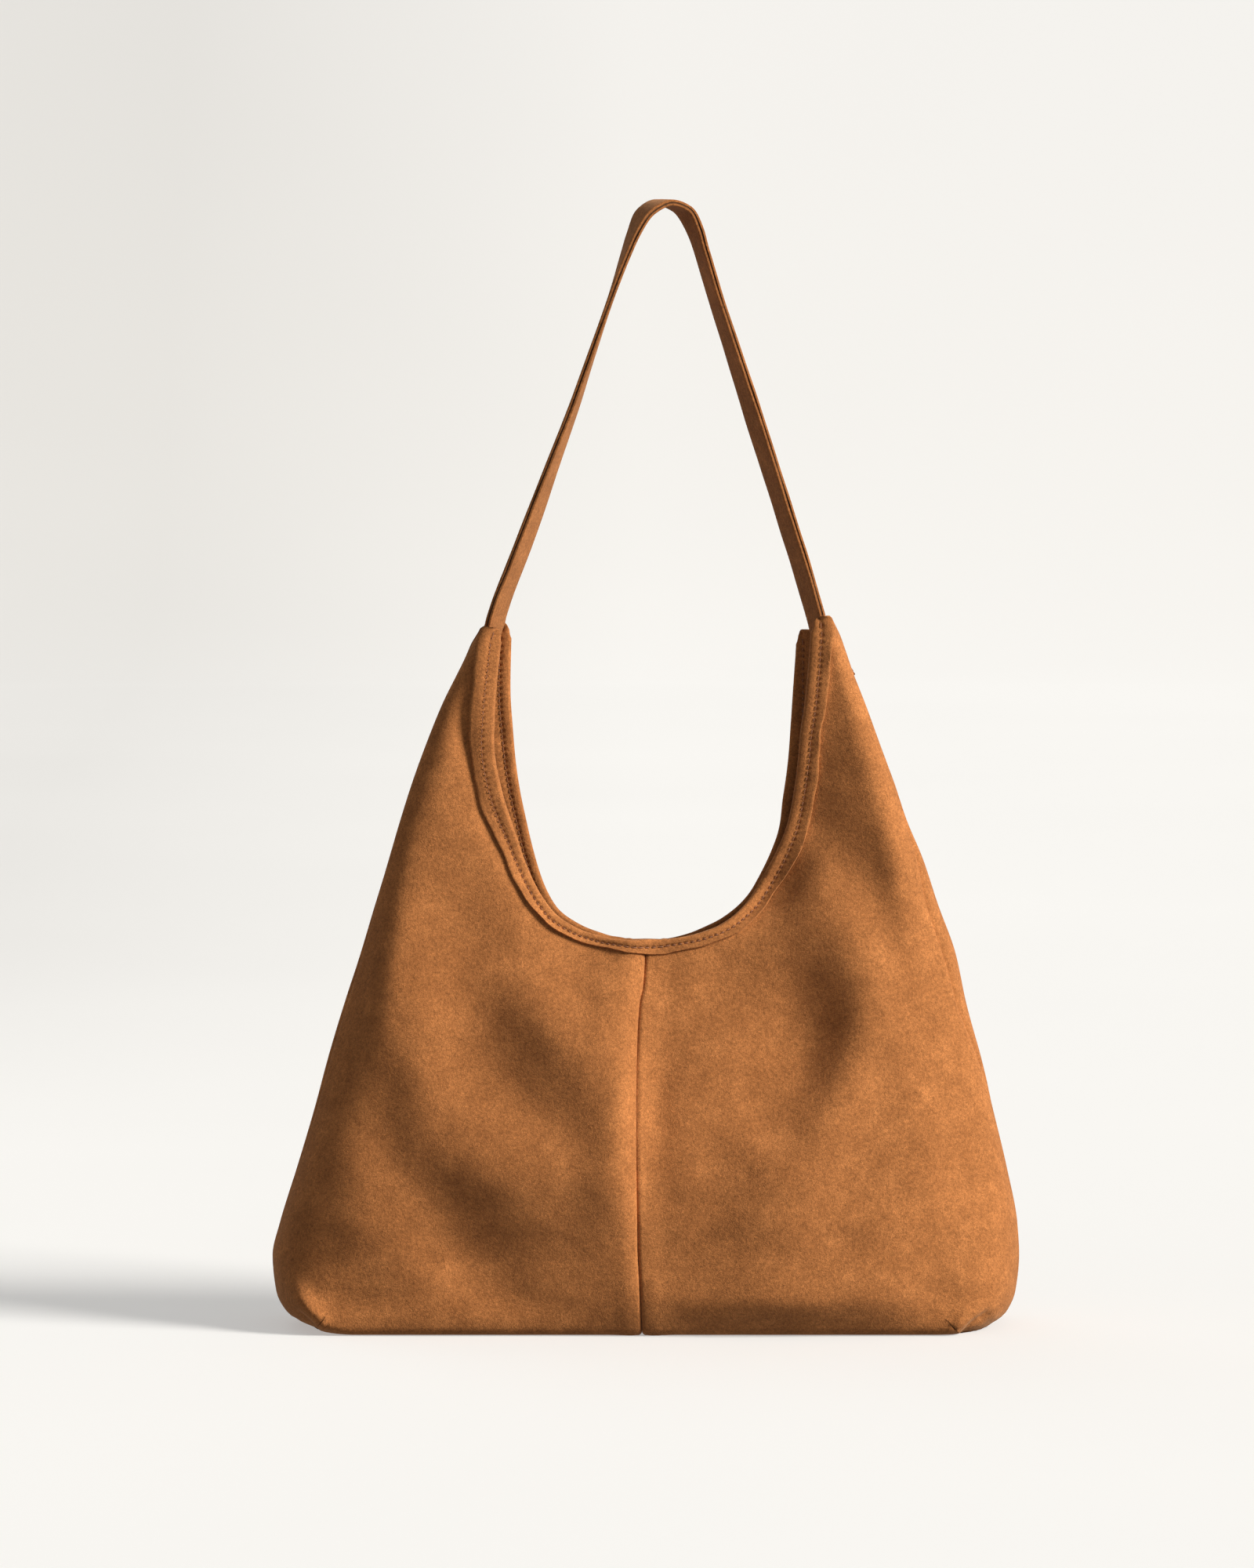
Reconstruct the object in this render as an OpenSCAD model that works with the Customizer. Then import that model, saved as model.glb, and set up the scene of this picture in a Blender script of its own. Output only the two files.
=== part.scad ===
// Suede hobo shoulder bag: a slouched, boxed-bottom body with two ears, a bound mouth,
// a twisted shoulder strap, a cloth lining, a magnetic snap and an inside zip pocket.
// X runs across the bag, Y from front (minus) to back, Z up. The origin is on the floor
// under the middle of the base.

/* [Body] */
// Width of the bag at its widest, just above the floor
body_w = 420; // [390:5:450]
// Height of the ear tops
ear_h = 394; // [380:2:420]
// Thickness of the suede
suede_t = 1.3; // [1.1:0.1:1.4]
// Widest visible width of the folded band round the mouth
binding_w = 8; // [6:1:16]

/* [Strap] */
// Width of the shoulder strap
strap_w = 20; // [16:1:20]
// Thickness of one suede face of the strap
strap_face_t = 1.2; // [1:0.1:1.3]
// Thickness of the filler between the two faces
strap_core_t = 1.0; // [0.8:0.1:1.2]

/* [Lining and base] */
// Thickness of the lining cloth
lining_t = 0.6; // [0.4:0.1:0.7]
// Length of the stiffening board in the base
board_l = 290; // [240:5:300]
// Width of the stiffening board in the base
board_w = 80; // [60:5:84]

/* [Magnetic snap] */
// Diameter of both snap halves
snap_d = 18; // [14:1:20]
// Height of the snap's middle above the floor
snap_z = 198; // [196:1:199]

/* [Zip pocket] */
// Length of the row of zip teeth
zip_l = 140; // [110:5:140]
// Height of the zip above the floor
zip_z = 168; // [165:1:172]
// Depth of the pocket below the zip
pocket_h = 100; // [70:5:100]

/* [Hidden] */
$fn = 48;

// The outlines below are drawn for a bag of this width and height.
drawn_w = 420;
drawn_h = 398;
sx = body_w / drawn_w;
sz = ear_h / drawn_h;

suede = [0.72, 0.45, 0.26];
suede_dark = [0.45, 0.27, 0.15];
cloth = [0.62, 0.53, 0.42];
brass = [0.78, 0.62, 0.32];
steel = [0.72, 0.72, 0.70];

// A hair of room between pieces that lie against each other.
gap = 0.1;
// Half the room left along the seams that the panels meet at.
seam = 0.05;

// Ribs run from the mouth rim to the outer edge of the bag as seen from the front:
// [rim x, rim z, edge x, edge z]. The first ones end on the side seam, the last
// BASE_RIBS of the left list end on the bottom fold.
LEFT_RIBS = [
    [-83, 398, -93, 398], [-82, 380, -103, 376], [-81, 360, -114, 354],
    [-79.5, 340, -123, 332], [-78, 322, -131, 310], [-75.5, 304, -138, 288],
    [-72, 287, -145, 264], [-68, 270, -152, 240], [-63.5, 256, -160, 212],
    [-58, 244, -169, 184], [-51, 234, -178, 154], [-43, 228, -186, 124],
    [-35, 224, -196, 90], [-27, 221.5, -206, 58], [-21, 220, -210, 40],
    [-16, 219.5, -207, 20], [-13, 219, -192, 6],
    [-11, 219, -160, 0], [-8, 218.5, -116, 0], [-4, 218.5, -60, 0], [-seam, 218.5, -seam, 0]
];
// The right half, from the centre seam out to the right ear.
RIGHT_RIBS = [
    [seam, 218.5, seam, 0], [4, 218.5, 62, 0], [8, 218.5, 122, 0], [11, 219, 170, 0],
    [13, 219, 197, 6], [16, 219.5, 206, 20],
    [21, 220.5, 210, 40], [27, 222, 209, 58], [34, 224.5, 203, 90],
    [42, 228, 195, 124], [51, 234, 188, 154], [60, 243, 180, 184],
    [68, 256, 174, 212], [75, 270, 164, 240], [81.5, 287, 156, 264],
    [85, 304, 146, 288], [87.5, 322, 139, 310], [89, 340, 131, 332],
    [90.5, 360, 123, 354], [92, 380, 114, 376], [93, 398, 104, 398]
];
BASE_RIBS = 4;
last_rib = len(LEFT_RIBS) - 1;
// Where the two ends of the base touch the floor.
LEFT_FOOT = -176;
RIGHT_FOOT = 187;

// Front-to-back depth at each height.
DEPTH = [[0, 98], [4, 102], [12, 106], [35, 110], [60, 110], [219, 40], [260, 32], [330, 29], [398, 28]];
// Distance from the side seam over which the front turns into the side.
ROUND = [[0, 45], [100, 50], [219, 45], [260, 38], [300, 30], [360, 16], [398, 6]];
// How far each ear turns towards the front: sideways shift for each mm of depth.
TURN = [[230, 0], [268, 0.22], [304, 0.34], [340, 0.42], [398, 0.45]];
// Distance of the linings inside the outer surface.
LINING_FRONT = [[0, 3.8], [20, 3.6], [70, 2.4], [200, 1.9], [398, 1.7]];
LINING_BACK = [[0, 3.8], [12, 3.9], [55, 8], [222, 8], [262, 1.7], [398, 1.7]];

left_edge = concat([[0, LEFT_FOOT]],
    [for (i = [last_rib - BASE_RIBS : -1 : 0]) [LEFT_RIBS[i][3], LEFT_RIBS[i][2]]]);
right_edge = concat([[0, RIGHT_FOOT]],
    [for (i = [BASE_RIBS : last_rib]) [RIGHT_RIBS[i][3], RIGHT_RIBS[i][2]]]);

// Quarter-round that rises from 0 at the seam to 1.
function turn_in(s) = s >= 1 ? 1 : s <= 0 ? 0 : sqrt(1 - (1 - s) * (1 - s));

// Half depth at a place on the drawn outline, k inside the outer surface.
function half_depth(x, z, k) =
    (lookup(z, DEPTH) / 2 - k)
    * turn_in((x - lookup(z, left_edge) - k) / lookup(z, ROUND))
    * turn_in((lookup(z, right_edge) - k - x) / lookup(z, ROUND));

// Point of the front surface, scaled to the bag's size and turned with the ear.
function place(x, z, y) = [sx * (x + (x < 0 ? 1 : -1) * y * lookup(z, TURN)), y, sz * z];

// Where a rib ends on the outer edge, k inside the outer surface.
function edge_end(rib, k) =
    rib[3] == 0 ? [rib[2], k]
    : let (lift = max(0, 1 - rib[3] / 20) * k, z = rib[3] + lift)
      rib[2] < 0 ? [lookup(z, left_edge) + k, z] : [lookup(z, right_edge) - k, z];

// Point at fraction f of a rib, from 0 at the outer edge to 1 at the rim.
function rib_point(rib, f, k) =
    let (e = edge_end(rib, k), x = e[0] + (rib[0] - e[0]) * f, z = e[1] + (rib[1] - e[1]) * f)
    place(x, z, -seam - half_depth(x, z, k));

// Point under the base, at fraction g of the way from the bottom seam to the bottom fold.
function base_point(rib, g, k) =
    place(rib[2], k, -seam - g * half_depth(rib[2], k, k));

// Fraction of a rib that lies below the binding.
function below_binding(rib) =
    let (l = norm([rib[2] - rib[0], rib[3] - rib[1]])) max(0.5, 1 - binding_w / l);

BASE_ROWS = 3;
FACE_ROWS = 6;
ROW_CURVE = 1.8;

// One rib's points from the bottom or side seam up to the binding's lower edge.
function rib_below(rib, k) =
    let (is_base = rib[3] == 0, rows = is_base ? FACE_ROWS : FACE_ROWS + BASE_ROWS,
         f_top = below_binding(rib))
    concat(
        is_base ? [for (j = [0 : BASE_ROWS - 1]) base_point(rib, j / BASE_ROWS, k)] : [],
        [for (j = [0 : rows]) rib_point(rib, f_top * pow(j / rows, ROW_CURVE), k)]
    );

// The same, carried on under the binding to the rim.
function rib_to_rim(rib, k) =
    concat(rib_below(rib, k), [for (f = [(1 + below_binding(rib)) / 2, 1]) rib_point(rib, f, k)]);

function flat_list(rows) = [for (row = rows) for (p = row) p];

// A closed sheet between two grids of points with the same rows and columns.
module sheet(outer, inner) {
    n = len(outer);
    m = len(outer[0]);
    skin = n * m;
    polyhedron(
        points = concat(flat_list(outer), flat_list(inner)),
        faces = concat(
            [for (i = [0 : n - 2]) for (j = [0 : m - 2])
                let (a = i * m + j, b = a + m)
                each [[a, b + 1, b], [a, a + 1, b + 1],
                      [skin + a, skin + b, skin + b + 1], [skin + a, skin + b + 1, skin + a + 1]]],
            [for (i = [0 : n - 2]) for (j = [0, m - 1])
                let (a = i * m + j, b = a + m)
                each j == 0 ? [[a, b, skin + b], [a, skin + b, skin + a]]
                            : [[a, skin + b, b], [a, skin + a, skin + b]]],
            [for (i = [0, n - 1]) for (j = [0 : m - 2])
                let (a = i * m + j, b = a + 1)
                each i == 0 ? [[a, skin + b, b], [a, skin + a, skin + b]]
                            : [[a, b, skin + b], [a, skin + b, skin + a]]]
        )
    );
}

// A closed tube through sections of the same number of points, ended by the triangles
// of cap. Cells from other_way on are split along their other diagonal.
module loft(sections, cap, other_way = 1000) {
    n = len(sections);
    m = len(sections[0]);
    end = (n - 1) * m;
    polyhedron(
        points = flat_list(sections),
        faces = concat(
            [for (i = [0 : n - 2]) for (j = [0 : m - 1])
                let (a = i * m + j, b = i * m + (j + 1) % m, c = b + m, d = a + m)
                each j < other_way ? [[a, b, c], [a, c, d]] : [[a, b, d], [b, c, d]]],
            [for (t = cap) [t[2], t[1], t[0]]], [for (t = cap) [for (j = t) end + j]]
        )
    );
}

module front_half(ribs) {
    sheet([for (rib = ribs) rib_to_rim(rib, 0)], [for (rib = ribs) rib_to_rim(rib, suede_t)]);
}

// Section of the folded band: outer leg, roll over the rim, inner leg.
function binding_section(rib) =
    let (f = below_binding(rib), h = (1 + f) / 2, l = norm([rib[2] - rib[0], rib[3] - rib[1]]),
         roll = 1 + (suede_t + gap) / l, rim = 1 + gap / l,
         out = -gap - suede_t, under = suede_t + gap, in = 2 * suede_t + gap)
    [for (p = [[f, out], [h, out], [1, out], [roll, 0], [roll, suede_t], [1, in], [h, in], [f, in],
               [f, under], [h, under], [rim, under], [rim, -gap], [h, -gap], [f, -gap]])
        rib_point(rib, p[0], p[1])];

// The section's end, from its outer leg over the roll to its inner leg.
BINDING_CAP = [[0, 1, 12], [0, 12, 13], [1, 2, 11], [1, 11, 12], [2, 3, 11], [3, 4, 11],
               [4, 10, 11], [4, 5, 10], [5, 6, 9], [5, 9, 10], [6, 7, 8], [6, 8, 9]];

module rim_binding() {
    loft([for (rib = concat(LEFT_RIBS, RIGHT_RIBS)) binding_section(rib)], BINDING_CAP, 11);
}

// ---- strap ----

// Centre line of the strap with the turn of its width: [x, y, z, degrees from front to right].
STRAP_PATH = [
    [-86.5, 0, 366, -24], [-86, 0, 384, -24], [-84.5, 0, 400, -24], [-81.3, -0.5, 411, -24],
    [-73, -1.5, 432.5, -23], [-64.7, -2.5, 454.5, -21], [-56.8, -3.5, 476.5, -17],
    [-48.8, -4.5, 498.5, -13], [-40.7, -5.2, 520.5, -9], [-33.4, -6, 542.5, -5],
    [-26, -6.5, 564.5, -2], [-18.5, -7, 586.5, 1], [-11, -7.2, 608.5, 8],
    [-6.5, -6.8, 620.5, 14], [-0.5, -4.5, 631.5, 24], [10, 0, 637, 30], [20.5, 4.5, 633, 28],
    [27, 6.5, 622, 22], [31.5, 7, 608.5, 17], [38, 6.8, 586.5, 17], [45, 6.2, 564.5, 19],
    [52, 5.6, 542.5, 21], [59, 5, 520.5, 23], [66, 4.2, 498.5, 24], [73, 3.4, 476.5, 24],
    [79.8, 2.5, 454.5, 24], [86.8, 1.5, 432.5, 24], [93, 0.5, 411, 24],
    [95.3, 0, 400, 24], [95.8, 0, 384, 24], [96.2, 0, 366, 24]
];
// The strap bends freely between its ears and these two points of the path.
strap_first = 4;
strap_last = len(STRAP_PATH) - 1 - strap_first;
// Smooth stations between two neighbouring points of the path.
STRAP_STEPS = 2;

function path_point(i) = STRAP_PATH[max(0, min(len(STRAP_PATH) - 1, i))];

// Smooth curve through the path's points, at point i and fraction t towards the next one.
function path_at(i, t) =
    let (a = path_point(i - 1), b = path_point(i), c = path_point(i + 1), d = path_point(i + 2))
    (2 * b + (c - a) * t + (2 * a - 5 * b + 4 * c - d) * t * t
     + (3 * b - a - 3 * c + d) * t * t * t) / 2;

function xyz(p) = [sx * p[0], p[1], sz * p[2]];
function unit(v) = v / norm(v);

// Section of one strap layer: width w, from offset lo to hi along the outward normal.
function strap_section(i, t, w, lo, hi) =
    let (p = path_at(i, t), before = xyz(path_at(i, t - 0.2)), after = xyz(path_at(i, t + 0.2)),
         along = unit(after - before), level = [sin(p[3]), -cos(p[3]), 0],
         across = unit(level - (level * along) * along), out = cross(across, along), c = xyz(p))
    [c + across * w / 2 + out * lo, c + across * w / 2 + out * hi,
     c - across * w / 2 + out * hi, c - across * w / 2 + out * lo];

// Places along the path, as [point, fraction towards the next point].
function stations(first, last) =
    [for (i = [first : last - 1]) for (s = [0 : STRAP_STEPS - 1]) [i, s / STRAP_STEPS]];

path_end = len(STRAP_PATH) - 1;
free_stations = concat(stations(strap_first, strap_last), [[strap_last - 1, 1]]);
left_stations = concat(stations(0, strap_first), [[strap_first - 1, 0.98]]);
right_stations = concat([[strap_last, 0.02]],
    [for (s = stations(strap_last, path_end)) if (s != [strap_last, 0]) s], [[path_end - 1, 1]]);

module strap_run(places, w, lo, hi) {
    loft([for (s = places) strap_section(s[0], s[1], w, lo, hi)], [[0, 1, 2], [0, 2, 3]], 3);
}

strap_t = 2 * strap_face_t + strap_core_t + gap;

// ---- walls that carry the snap and the zip ----

wall_slope = (lookup(219, DEPTH) - lookup(60, DEPTH)) / 2 / ((219 - 60) * sz);
wall_lean = atan(-wall_slope);
lining_back_k = lookup(100, LINING_BACK) + lining_t;
lining_front_k = lookup(100, LINING_FRONT) + lining_t;

// Puts children on the inner face of the back lining: X across, Y up the wall, Z into the bag.
module on_back_wall(z, k = lining_back_k) {
    translate([0, lookup(z / sz, DEPTH) / 2 - k, z]) rotate([90 + wall_lean, 0, 0]) children();
}

module on_front_wall(z) {
    mirror([0, 1, 0]) on_back_wall(z, lining_front_k) children();
}

// Flat plate with round corners between heights lo and hi.
module plate(w, h, r, lo, hi) {
    translate([0, 0, lo]) linear_extrude(hi - lo) offset(r, $fn = 32)
        square([w - 2 * r, h - 2 * r], center = true);
}

// ---- snap ----

snap_r = snap_d / 2;
patch_size = 28;
washer_top = 0.6;
patch_lo = washer_top + gap;
patch_hi = patch_lo + suede_t;
snap_lo = patch_hi + gap / 2;
socket_h = 4;
stud_h = 2;
pin_r = 2.6;
pin_h = 3;
magnet_in_r = 4.4;
magnet_h = 2.6;
wall = 0.6;

module snap_patch() {
    plate(patch_size, patch_size, 6, patch_lo, patch_hi);
}

module snap_washer() {
    difference() {
        translate([0, 0, gap]) cylinder(r = snap_r - 1, h = washer_top - gap);
        translate([0, 0, -1]) cylinder(r = 2, h = 3);
    }
}

// ---- zip ----

window_w = zip_l + 8;
window_h = 9.4;
frame_edge = 9;
frame_t = 0.9;
tooth_pitch = 2.8;
tooth_l = 1.7;
tooth_in = 0.45;
tooth_out = 2.6;
tooth_lo = -2.1;
tooth_hi = -0.1;
tape_lo = -1.4;
tape_hi = -0.8;
tape_w = 12;
slider_l = 12;
slider_w = 8.4;
slider_x = zip_l / 2 - slider_l / 2 - 1;
pin_z = 3;
pull_l = 23;
pocket_w = zip_l + 22;
pocket_back = -6.4;
pocket_front = -1.6;
pocket_wall = 0.4;

module window(lo, hi) {
    plate(window_w, window_h, 1.5, lo, hi);
}

module zip_tape(side) {
    translate([-window_w / 2 - 4, side > 0 ? tooth_out + seam : -tooth_out - seam - tape_w, tape_lo])
        cube([window_w + 8, tape_w, tape_hi - tape_lo]);
}

module zip_teeth(side) {
    count = floor(zip_l / tooth_pitch);
    for (i = [0 : count - 1])
        translate([(i - (count - 1) / 2) * tooth_pitch - tooth_l / 2,
                   side > 0 ? tooth_in : -tooth_out, tooth_lo])
            cube([tooth_l, tooth_out - tooth_in, tooth_hi - tooth_lo]);
}

// ---- pieces ----

module front_panel_left() color(suede) front_half(LEFT_RIBS);
module front_panel_right() color(suede) front_half(RIGHT_RIBS);
module back_panel_left() color(suede) mirror([0, 1, 0]) front_half(LEFT_RIBS);
module back_panel_right() color(suede) mirror([0, 1, 0]) front_half(RIGHT_RIBS);
module front_rim_binding() color(suede) rim_binding();
module back_rim_binding() color(suede) mirror([0, 1, 0]) rim_binding();

module strap_outer_layer() color(suede)
    strap_run(free_stations, strap_w, strap_core_t / 2 + gap / 2, strap_t / 2);
module strap_inner_layer() color(suede)
    strap_run(free_stations, strap_w, -strap_t / 2, -strap_core_t / 2 - gap / 2);
module strap_core() color(suede_dark)
    strap_run(free_stations, strap_w, -strap_core_t / 2, strap_core_t / 2);
module strap_root_left() color(suede)
    strap_run(left_stations, strap_w, -strap_t / 2, strap_t / 2);
module strap_root_right() color(suede)
    strap_run(right_stations, strap_w, -strap_t / 2, strap_t / 2);

// One half of the lining: all ribs, up to the binding's lower edge.
module lining(table) {
    ribs = concat(LEFT_RIBS, RIGHT_RIBS);
    sheet([for (rib = ribs) lining_rib(rib, table, 0)],
          [for (rib = ribs) lining_rib(rib, table, lining_t)]);
}

// One rib of a lining, whose distance inside the outer surface changes with height.
function lining_rib(rib, table, extra) =
    let (is_base = rib[3] == 0, rows = is_base ? FACE_ROWS : FACE_ROWS + BASE_ROWS,
         f_top = below_binding(rib) - 0.02)
    concat(
        is_base ? [for (j = [0 : BASE_ROWS - 1])
            base_point(rib, j / BASE_ROWS, lookup(0, table) + extra)] : [],
        [for (j = [0 : rows])
            let (f = f_top * pow(j / rows, ROW_CURVE))
            rib_point(rib, f, lookup(rib[3] + (rib[1] - rib[3]) * f, table) + extra)]
    );

module lining_front() color(cloth) lining(LINING_FRONT);

module lining_back() color(cloth) difference() {
    mirror([0, 1, 0]) lining(LINING_BACK);
    on_back_wall(zip_z) window(-3, 2);
}

module base_board() color(suede_dark) plate(board_l, board_w, 25, 1.5, 3.5);

module snap_patch_front() color(suede) on_front_wall(snap_z) snap_patch();
module snap_patch_back() color(suede) on_back_wall(snap_z) snap_patch();
module snap_washer_front() color(steel) on_front_wall(snap_z) snap_washer();
module snap_washer_back() color(steel) on_back_wall(snap_z) snap_washer();

module snap_socket() color(brass) on_front_wall(snap_z) difference() {
    translate([0, 0, snap_lo]) cylinder(r = snap_r, h = socket_h);
    translate([0, 0, snap_lo + wall]) cylinder(r = pin_r + wall, h = socket_h);
    difference() {
        translate([0, 0, snap_lo + wall]) cylinder(r = snap_r - wall, h = socket_h - 2 * wall);
        translate([0, 0, snap_lo]) cylinder(r = pin_r + 2 * wall, h = socket_h);
    }
}

module snap_magnet() color(steel) on_front_wall(snap_z) difference() {
    translate([0, 0, snap_lo + wall + gap]) cylinder(r = snap_r - wall - gap, h = magnet_h);
    translate([0, 0, snap_lo]) cylinder(r = magnet_in_r, h = socket_h);
}

module snap_stud() color(brass) on_back_wall(snap_z) union() {
    translate([0, 0, snap_lo]) cylinder(r = snap_r, h = stud_h);
    translate([0, 0, snap_lo]) cylinder(r = pin_r, h = stud_h + pin_h);
}

module pocket_bag() color(cloth) on_back_wall(zip_z) difference() {
    translate([0, (window_h + 12 - pocket_h) / 2, 0])
        plate(pocket_w, pocket_h + window_h + 12, 10, pocket_back, pocket_front);
    translate([0, (window_h + 12 - pocket_h) / 2, 0])
        plate(pocket_w - 2 * pocket_wall, pocket_h + window_h + 12 - 2 * pocket_wall, 10,
              pocket_back + pocket_wall, pocket_front - pocket_wall);
    window(pocket_front - 1, 0);
}

module zip_frame() color(suede) on_back_wall(zip_z) difference() {
    plate(window_w + 2 * frame_edge, window_h + 2 * frame_edge, 5, seam, seam + frame_t);
    window(-1, 3);
}

module zip_tape_upper() color(suede_dark) on_back_wall(zip_z) zip_tape(1);
module zip_tape_lower() color(suede_dark) on_back_wall(zip_z) zip_tape(-1);
module zip_teeth_upper() color(brass) on_back_wall(zip_z) zip_teeth(1);
module zip_teeth_lower() color(brass) on_back_wall(zip_z) zip_teeth(-1);

module zip_stops() color(brass) on_back_wall(zip_z)
    for (side = [-1, 1]) translate([side * (zip_l / 2 + 1.6), 0, (tooth_lo + tooth_hi) / 2])
        cube([2.4, 2 * tooth_out, 2.2], center = true);

module zip_slider() color(brass) on_back_wall(zip_z) translate([slider_x, 0, 0]) union() {
    for (z = [[0.4, 1.4], [-3.6, -2.6]]) plate(slider_l, slider_w, 2.5, z[0], z[1]);
    translate([-2, -0.25, -2.7]) cube([4, 0.5, 3.2]);
    for (side = [-1, 1]) {
        translate([-4, side * 3.7 - 0.5, -0.3]) cube([8, 1, 0.8]);
        translate([-4, side * 3.7 - 0.5, -2.7]) cube([8, 1, 0.8]);
        translate([0, side * 2, 0])
            rotate([90, 0, 0]) linear_extrude(0.8, center = true) slider_lug();
    }
    translate([0, 0, pin_z]) rotate([90, 0, 0]) cylinder(r = 0.5, h = 4, center = true);
}

// Side view of a lug that holds the pull's pin.
module slider_lug() {
    translate([0, pin_z]) circle(r = 1.1);
    translate([-1.1, 1.2]) square([2.2, pin_z - 1.2]);
}

module zip_pull() color(brass) on_back_wall(zip_z) translate([slider_x, 0, pin_z]) difference() {
    union() {
        rotate([90, 0, 0]) cylinder(r = 1.3, h = 2.8, center = true);
        translate([-6, -1.4, -0.6]) cube([6, 2.8, 1.2]);
        translate([-pull_l / 2 - 2.5, 0, 0]) plate(pull_l - 5, 6, 2, -0.6, 0.6);
    }
    rotate([90, 0, 0]) cylinder(r = 0.6, h = 10, center = true);
    translate([-pull_l + 3.5, 0, -2]) cylinder(r = 1.2, h = 4);
}

front_panel_left();
front_panel_right();
back_panel_left();
back_panel_right();
front_rim_binding();
back_rim_binding();
strap_outer_layer();
strap_inner_layer();
strap_core();
strap_root_left();
strap_root_right();
lining_front();
lining_back();
base_board();
snap_patch_front();
snap_patch_back();
snap_socket();
snap_magnet();
snap_stud();
snap_washer_front();
snap_washer_back();
pocket_bag();
zip_frame();
zip_tape_upper();
zip_tape_lower();
zip_teeth_upper();
zip_teeth_lower();
zip_stops();
zip_slider();
zip_pull();
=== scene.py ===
import math

import bmesh
import bpy
import numpy as np
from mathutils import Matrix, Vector


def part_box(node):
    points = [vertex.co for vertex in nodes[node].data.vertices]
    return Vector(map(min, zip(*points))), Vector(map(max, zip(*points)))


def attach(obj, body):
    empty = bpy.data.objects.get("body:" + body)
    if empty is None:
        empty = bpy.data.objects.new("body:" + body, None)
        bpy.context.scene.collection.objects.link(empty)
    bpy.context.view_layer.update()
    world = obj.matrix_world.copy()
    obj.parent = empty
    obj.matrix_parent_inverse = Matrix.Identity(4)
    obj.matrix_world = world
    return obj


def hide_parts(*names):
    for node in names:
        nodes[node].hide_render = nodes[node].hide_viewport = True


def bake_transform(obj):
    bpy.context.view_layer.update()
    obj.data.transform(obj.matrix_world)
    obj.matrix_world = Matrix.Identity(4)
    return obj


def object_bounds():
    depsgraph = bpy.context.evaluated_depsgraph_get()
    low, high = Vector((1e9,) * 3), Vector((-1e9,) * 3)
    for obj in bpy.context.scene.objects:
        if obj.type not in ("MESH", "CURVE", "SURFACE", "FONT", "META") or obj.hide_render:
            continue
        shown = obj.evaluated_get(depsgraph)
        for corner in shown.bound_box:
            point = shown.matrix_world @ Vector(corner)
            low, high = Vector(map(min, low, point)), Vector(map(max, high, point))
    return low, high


# The looks of a suede hobo bag. Lengths are in millimetres until a mesh is made.
MM = 0.001
LEFT, RIGHT = -1, 1
FRONT, BACK = -1, 1

SUEDE_T = 1.3            # thickness of the panels' suede
BINDING_W = 8.0          # width of the rim binding, rim to raw edge
BINDING_T = 1.3
FACING_W = 15.0          # width of the binding's leg inside the mouth
STITCH_D = 3.4           # stitch row, from the rim
STITCH_PITCH = 3.4
HOLE_DEPTH, HOLE_REACH = 1.2, 0.55       # of the dent that each stitch hole pulls in
RIM_T = 1.9              # suede and lining between the two legs of the binding
TRIM_PITCH = 2.8         # stitches of the snap patches and the zip frame
DRAWN_EAR_H = 398.0      # the outlines below are drawn for ears of this height
STRAP_W = 20.0
STRAP_FACE_T = 1.25
STRAP_CORE_T = 1.0
BASE_FOLD_R = 5.0        # radius of the fold round the base
EAR_WRAP = 22.0          # how far from the rim the ears are turned
FLARE_REACH = 8.0        # how far from the rim it flares
CURL_REACH = 5.0         # how far from the rim it curls
FOLDS_FROM_Z = 24.0      # the folds fade out below this height
TUCK_FADE = 12.0         # half depth below which a corner's tuck fades out
SEAM_PULL = 45.0         # how far from the middle the suede follows the wandering centre seam
EAR_H = 394.0            # the bag's own ear height
SNAP_PATCH_W = 28.0
ZIP_FRAME_SIZE = (166, 27.4)
Z_SCALE = EAR_H / DRAWN_EAR_H

# Ribs of each half, from the ear's top to the centre seam: rim x, rim z, edge x, edge z.
LEFT_RIBS = [
    (-83, 398, -93, 398), (-82, 380, -103, 376), (-81, 360, -114, 354), (-79.5, 340, -123, 332),
    (-78, 322, -131, 310), (-75.5, 304, -138, 288), (-72, 287, -145, 264), (-68, 270, -152, 240),
    (-63.5, 256, -160, 212), (-58, 244, -169, 184), (-51, 234, -178, 154), (-43, 228, -186, 124),
    (-35, 224, -196, 90), (-27, 221.5, -206, 58), (-21, 220, -210, 40), (-16, 219.5, -208, 20),
    (-13, 219, -202, 8), (-12, 219, -188, 0), (-11, 219, -166, 0), (-8, 218.5, -116, 0),
    (-4, 218.5, -60, 0), (-0.05, 218.5, -0.05, 0)]
RIGHT_RIBS = [
    (93, 398, 104, 398), (92, 380, 114, 376), (90.5, 360, 123, 354), (89, 340, 131, 332),
    (87.5, 322, 139, 310), (85, 304, 146, 288), (81.5, 287, 156, 264), (75, 270, 164, 240),
    (68, 256, 174, 212), (60, 243, 180, 184), (51, 234, 188, 154), (42, 228, 195, 124),
    (34, 224.5, 203, 90), (27, 222, 209, 58), (21, 220.5, 210, 40), (16, 219.5, 208, 20),
    (13, 219, 203, 8), (12, 219, 193, 0), (11, 219, 172, 0), (8, 218.5, 122, 0),
    (4, 218.5, 62, 0), (0.05, 218.5, 0.05, 0)]
FOOT_RIB = 17            # the rib whose edge is where the outline meets the floor
RIM_RIBS = 15            # the first ribs, between whose ends the rim's x is a curve of its height

LINING_T = 0.5
WALL_LEAN = math.atan(35 / 159 / Z_SCALE)
ZIP_CUT = (76.5, 7.6)    # half width and half height of the cut in the back lining

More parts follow.
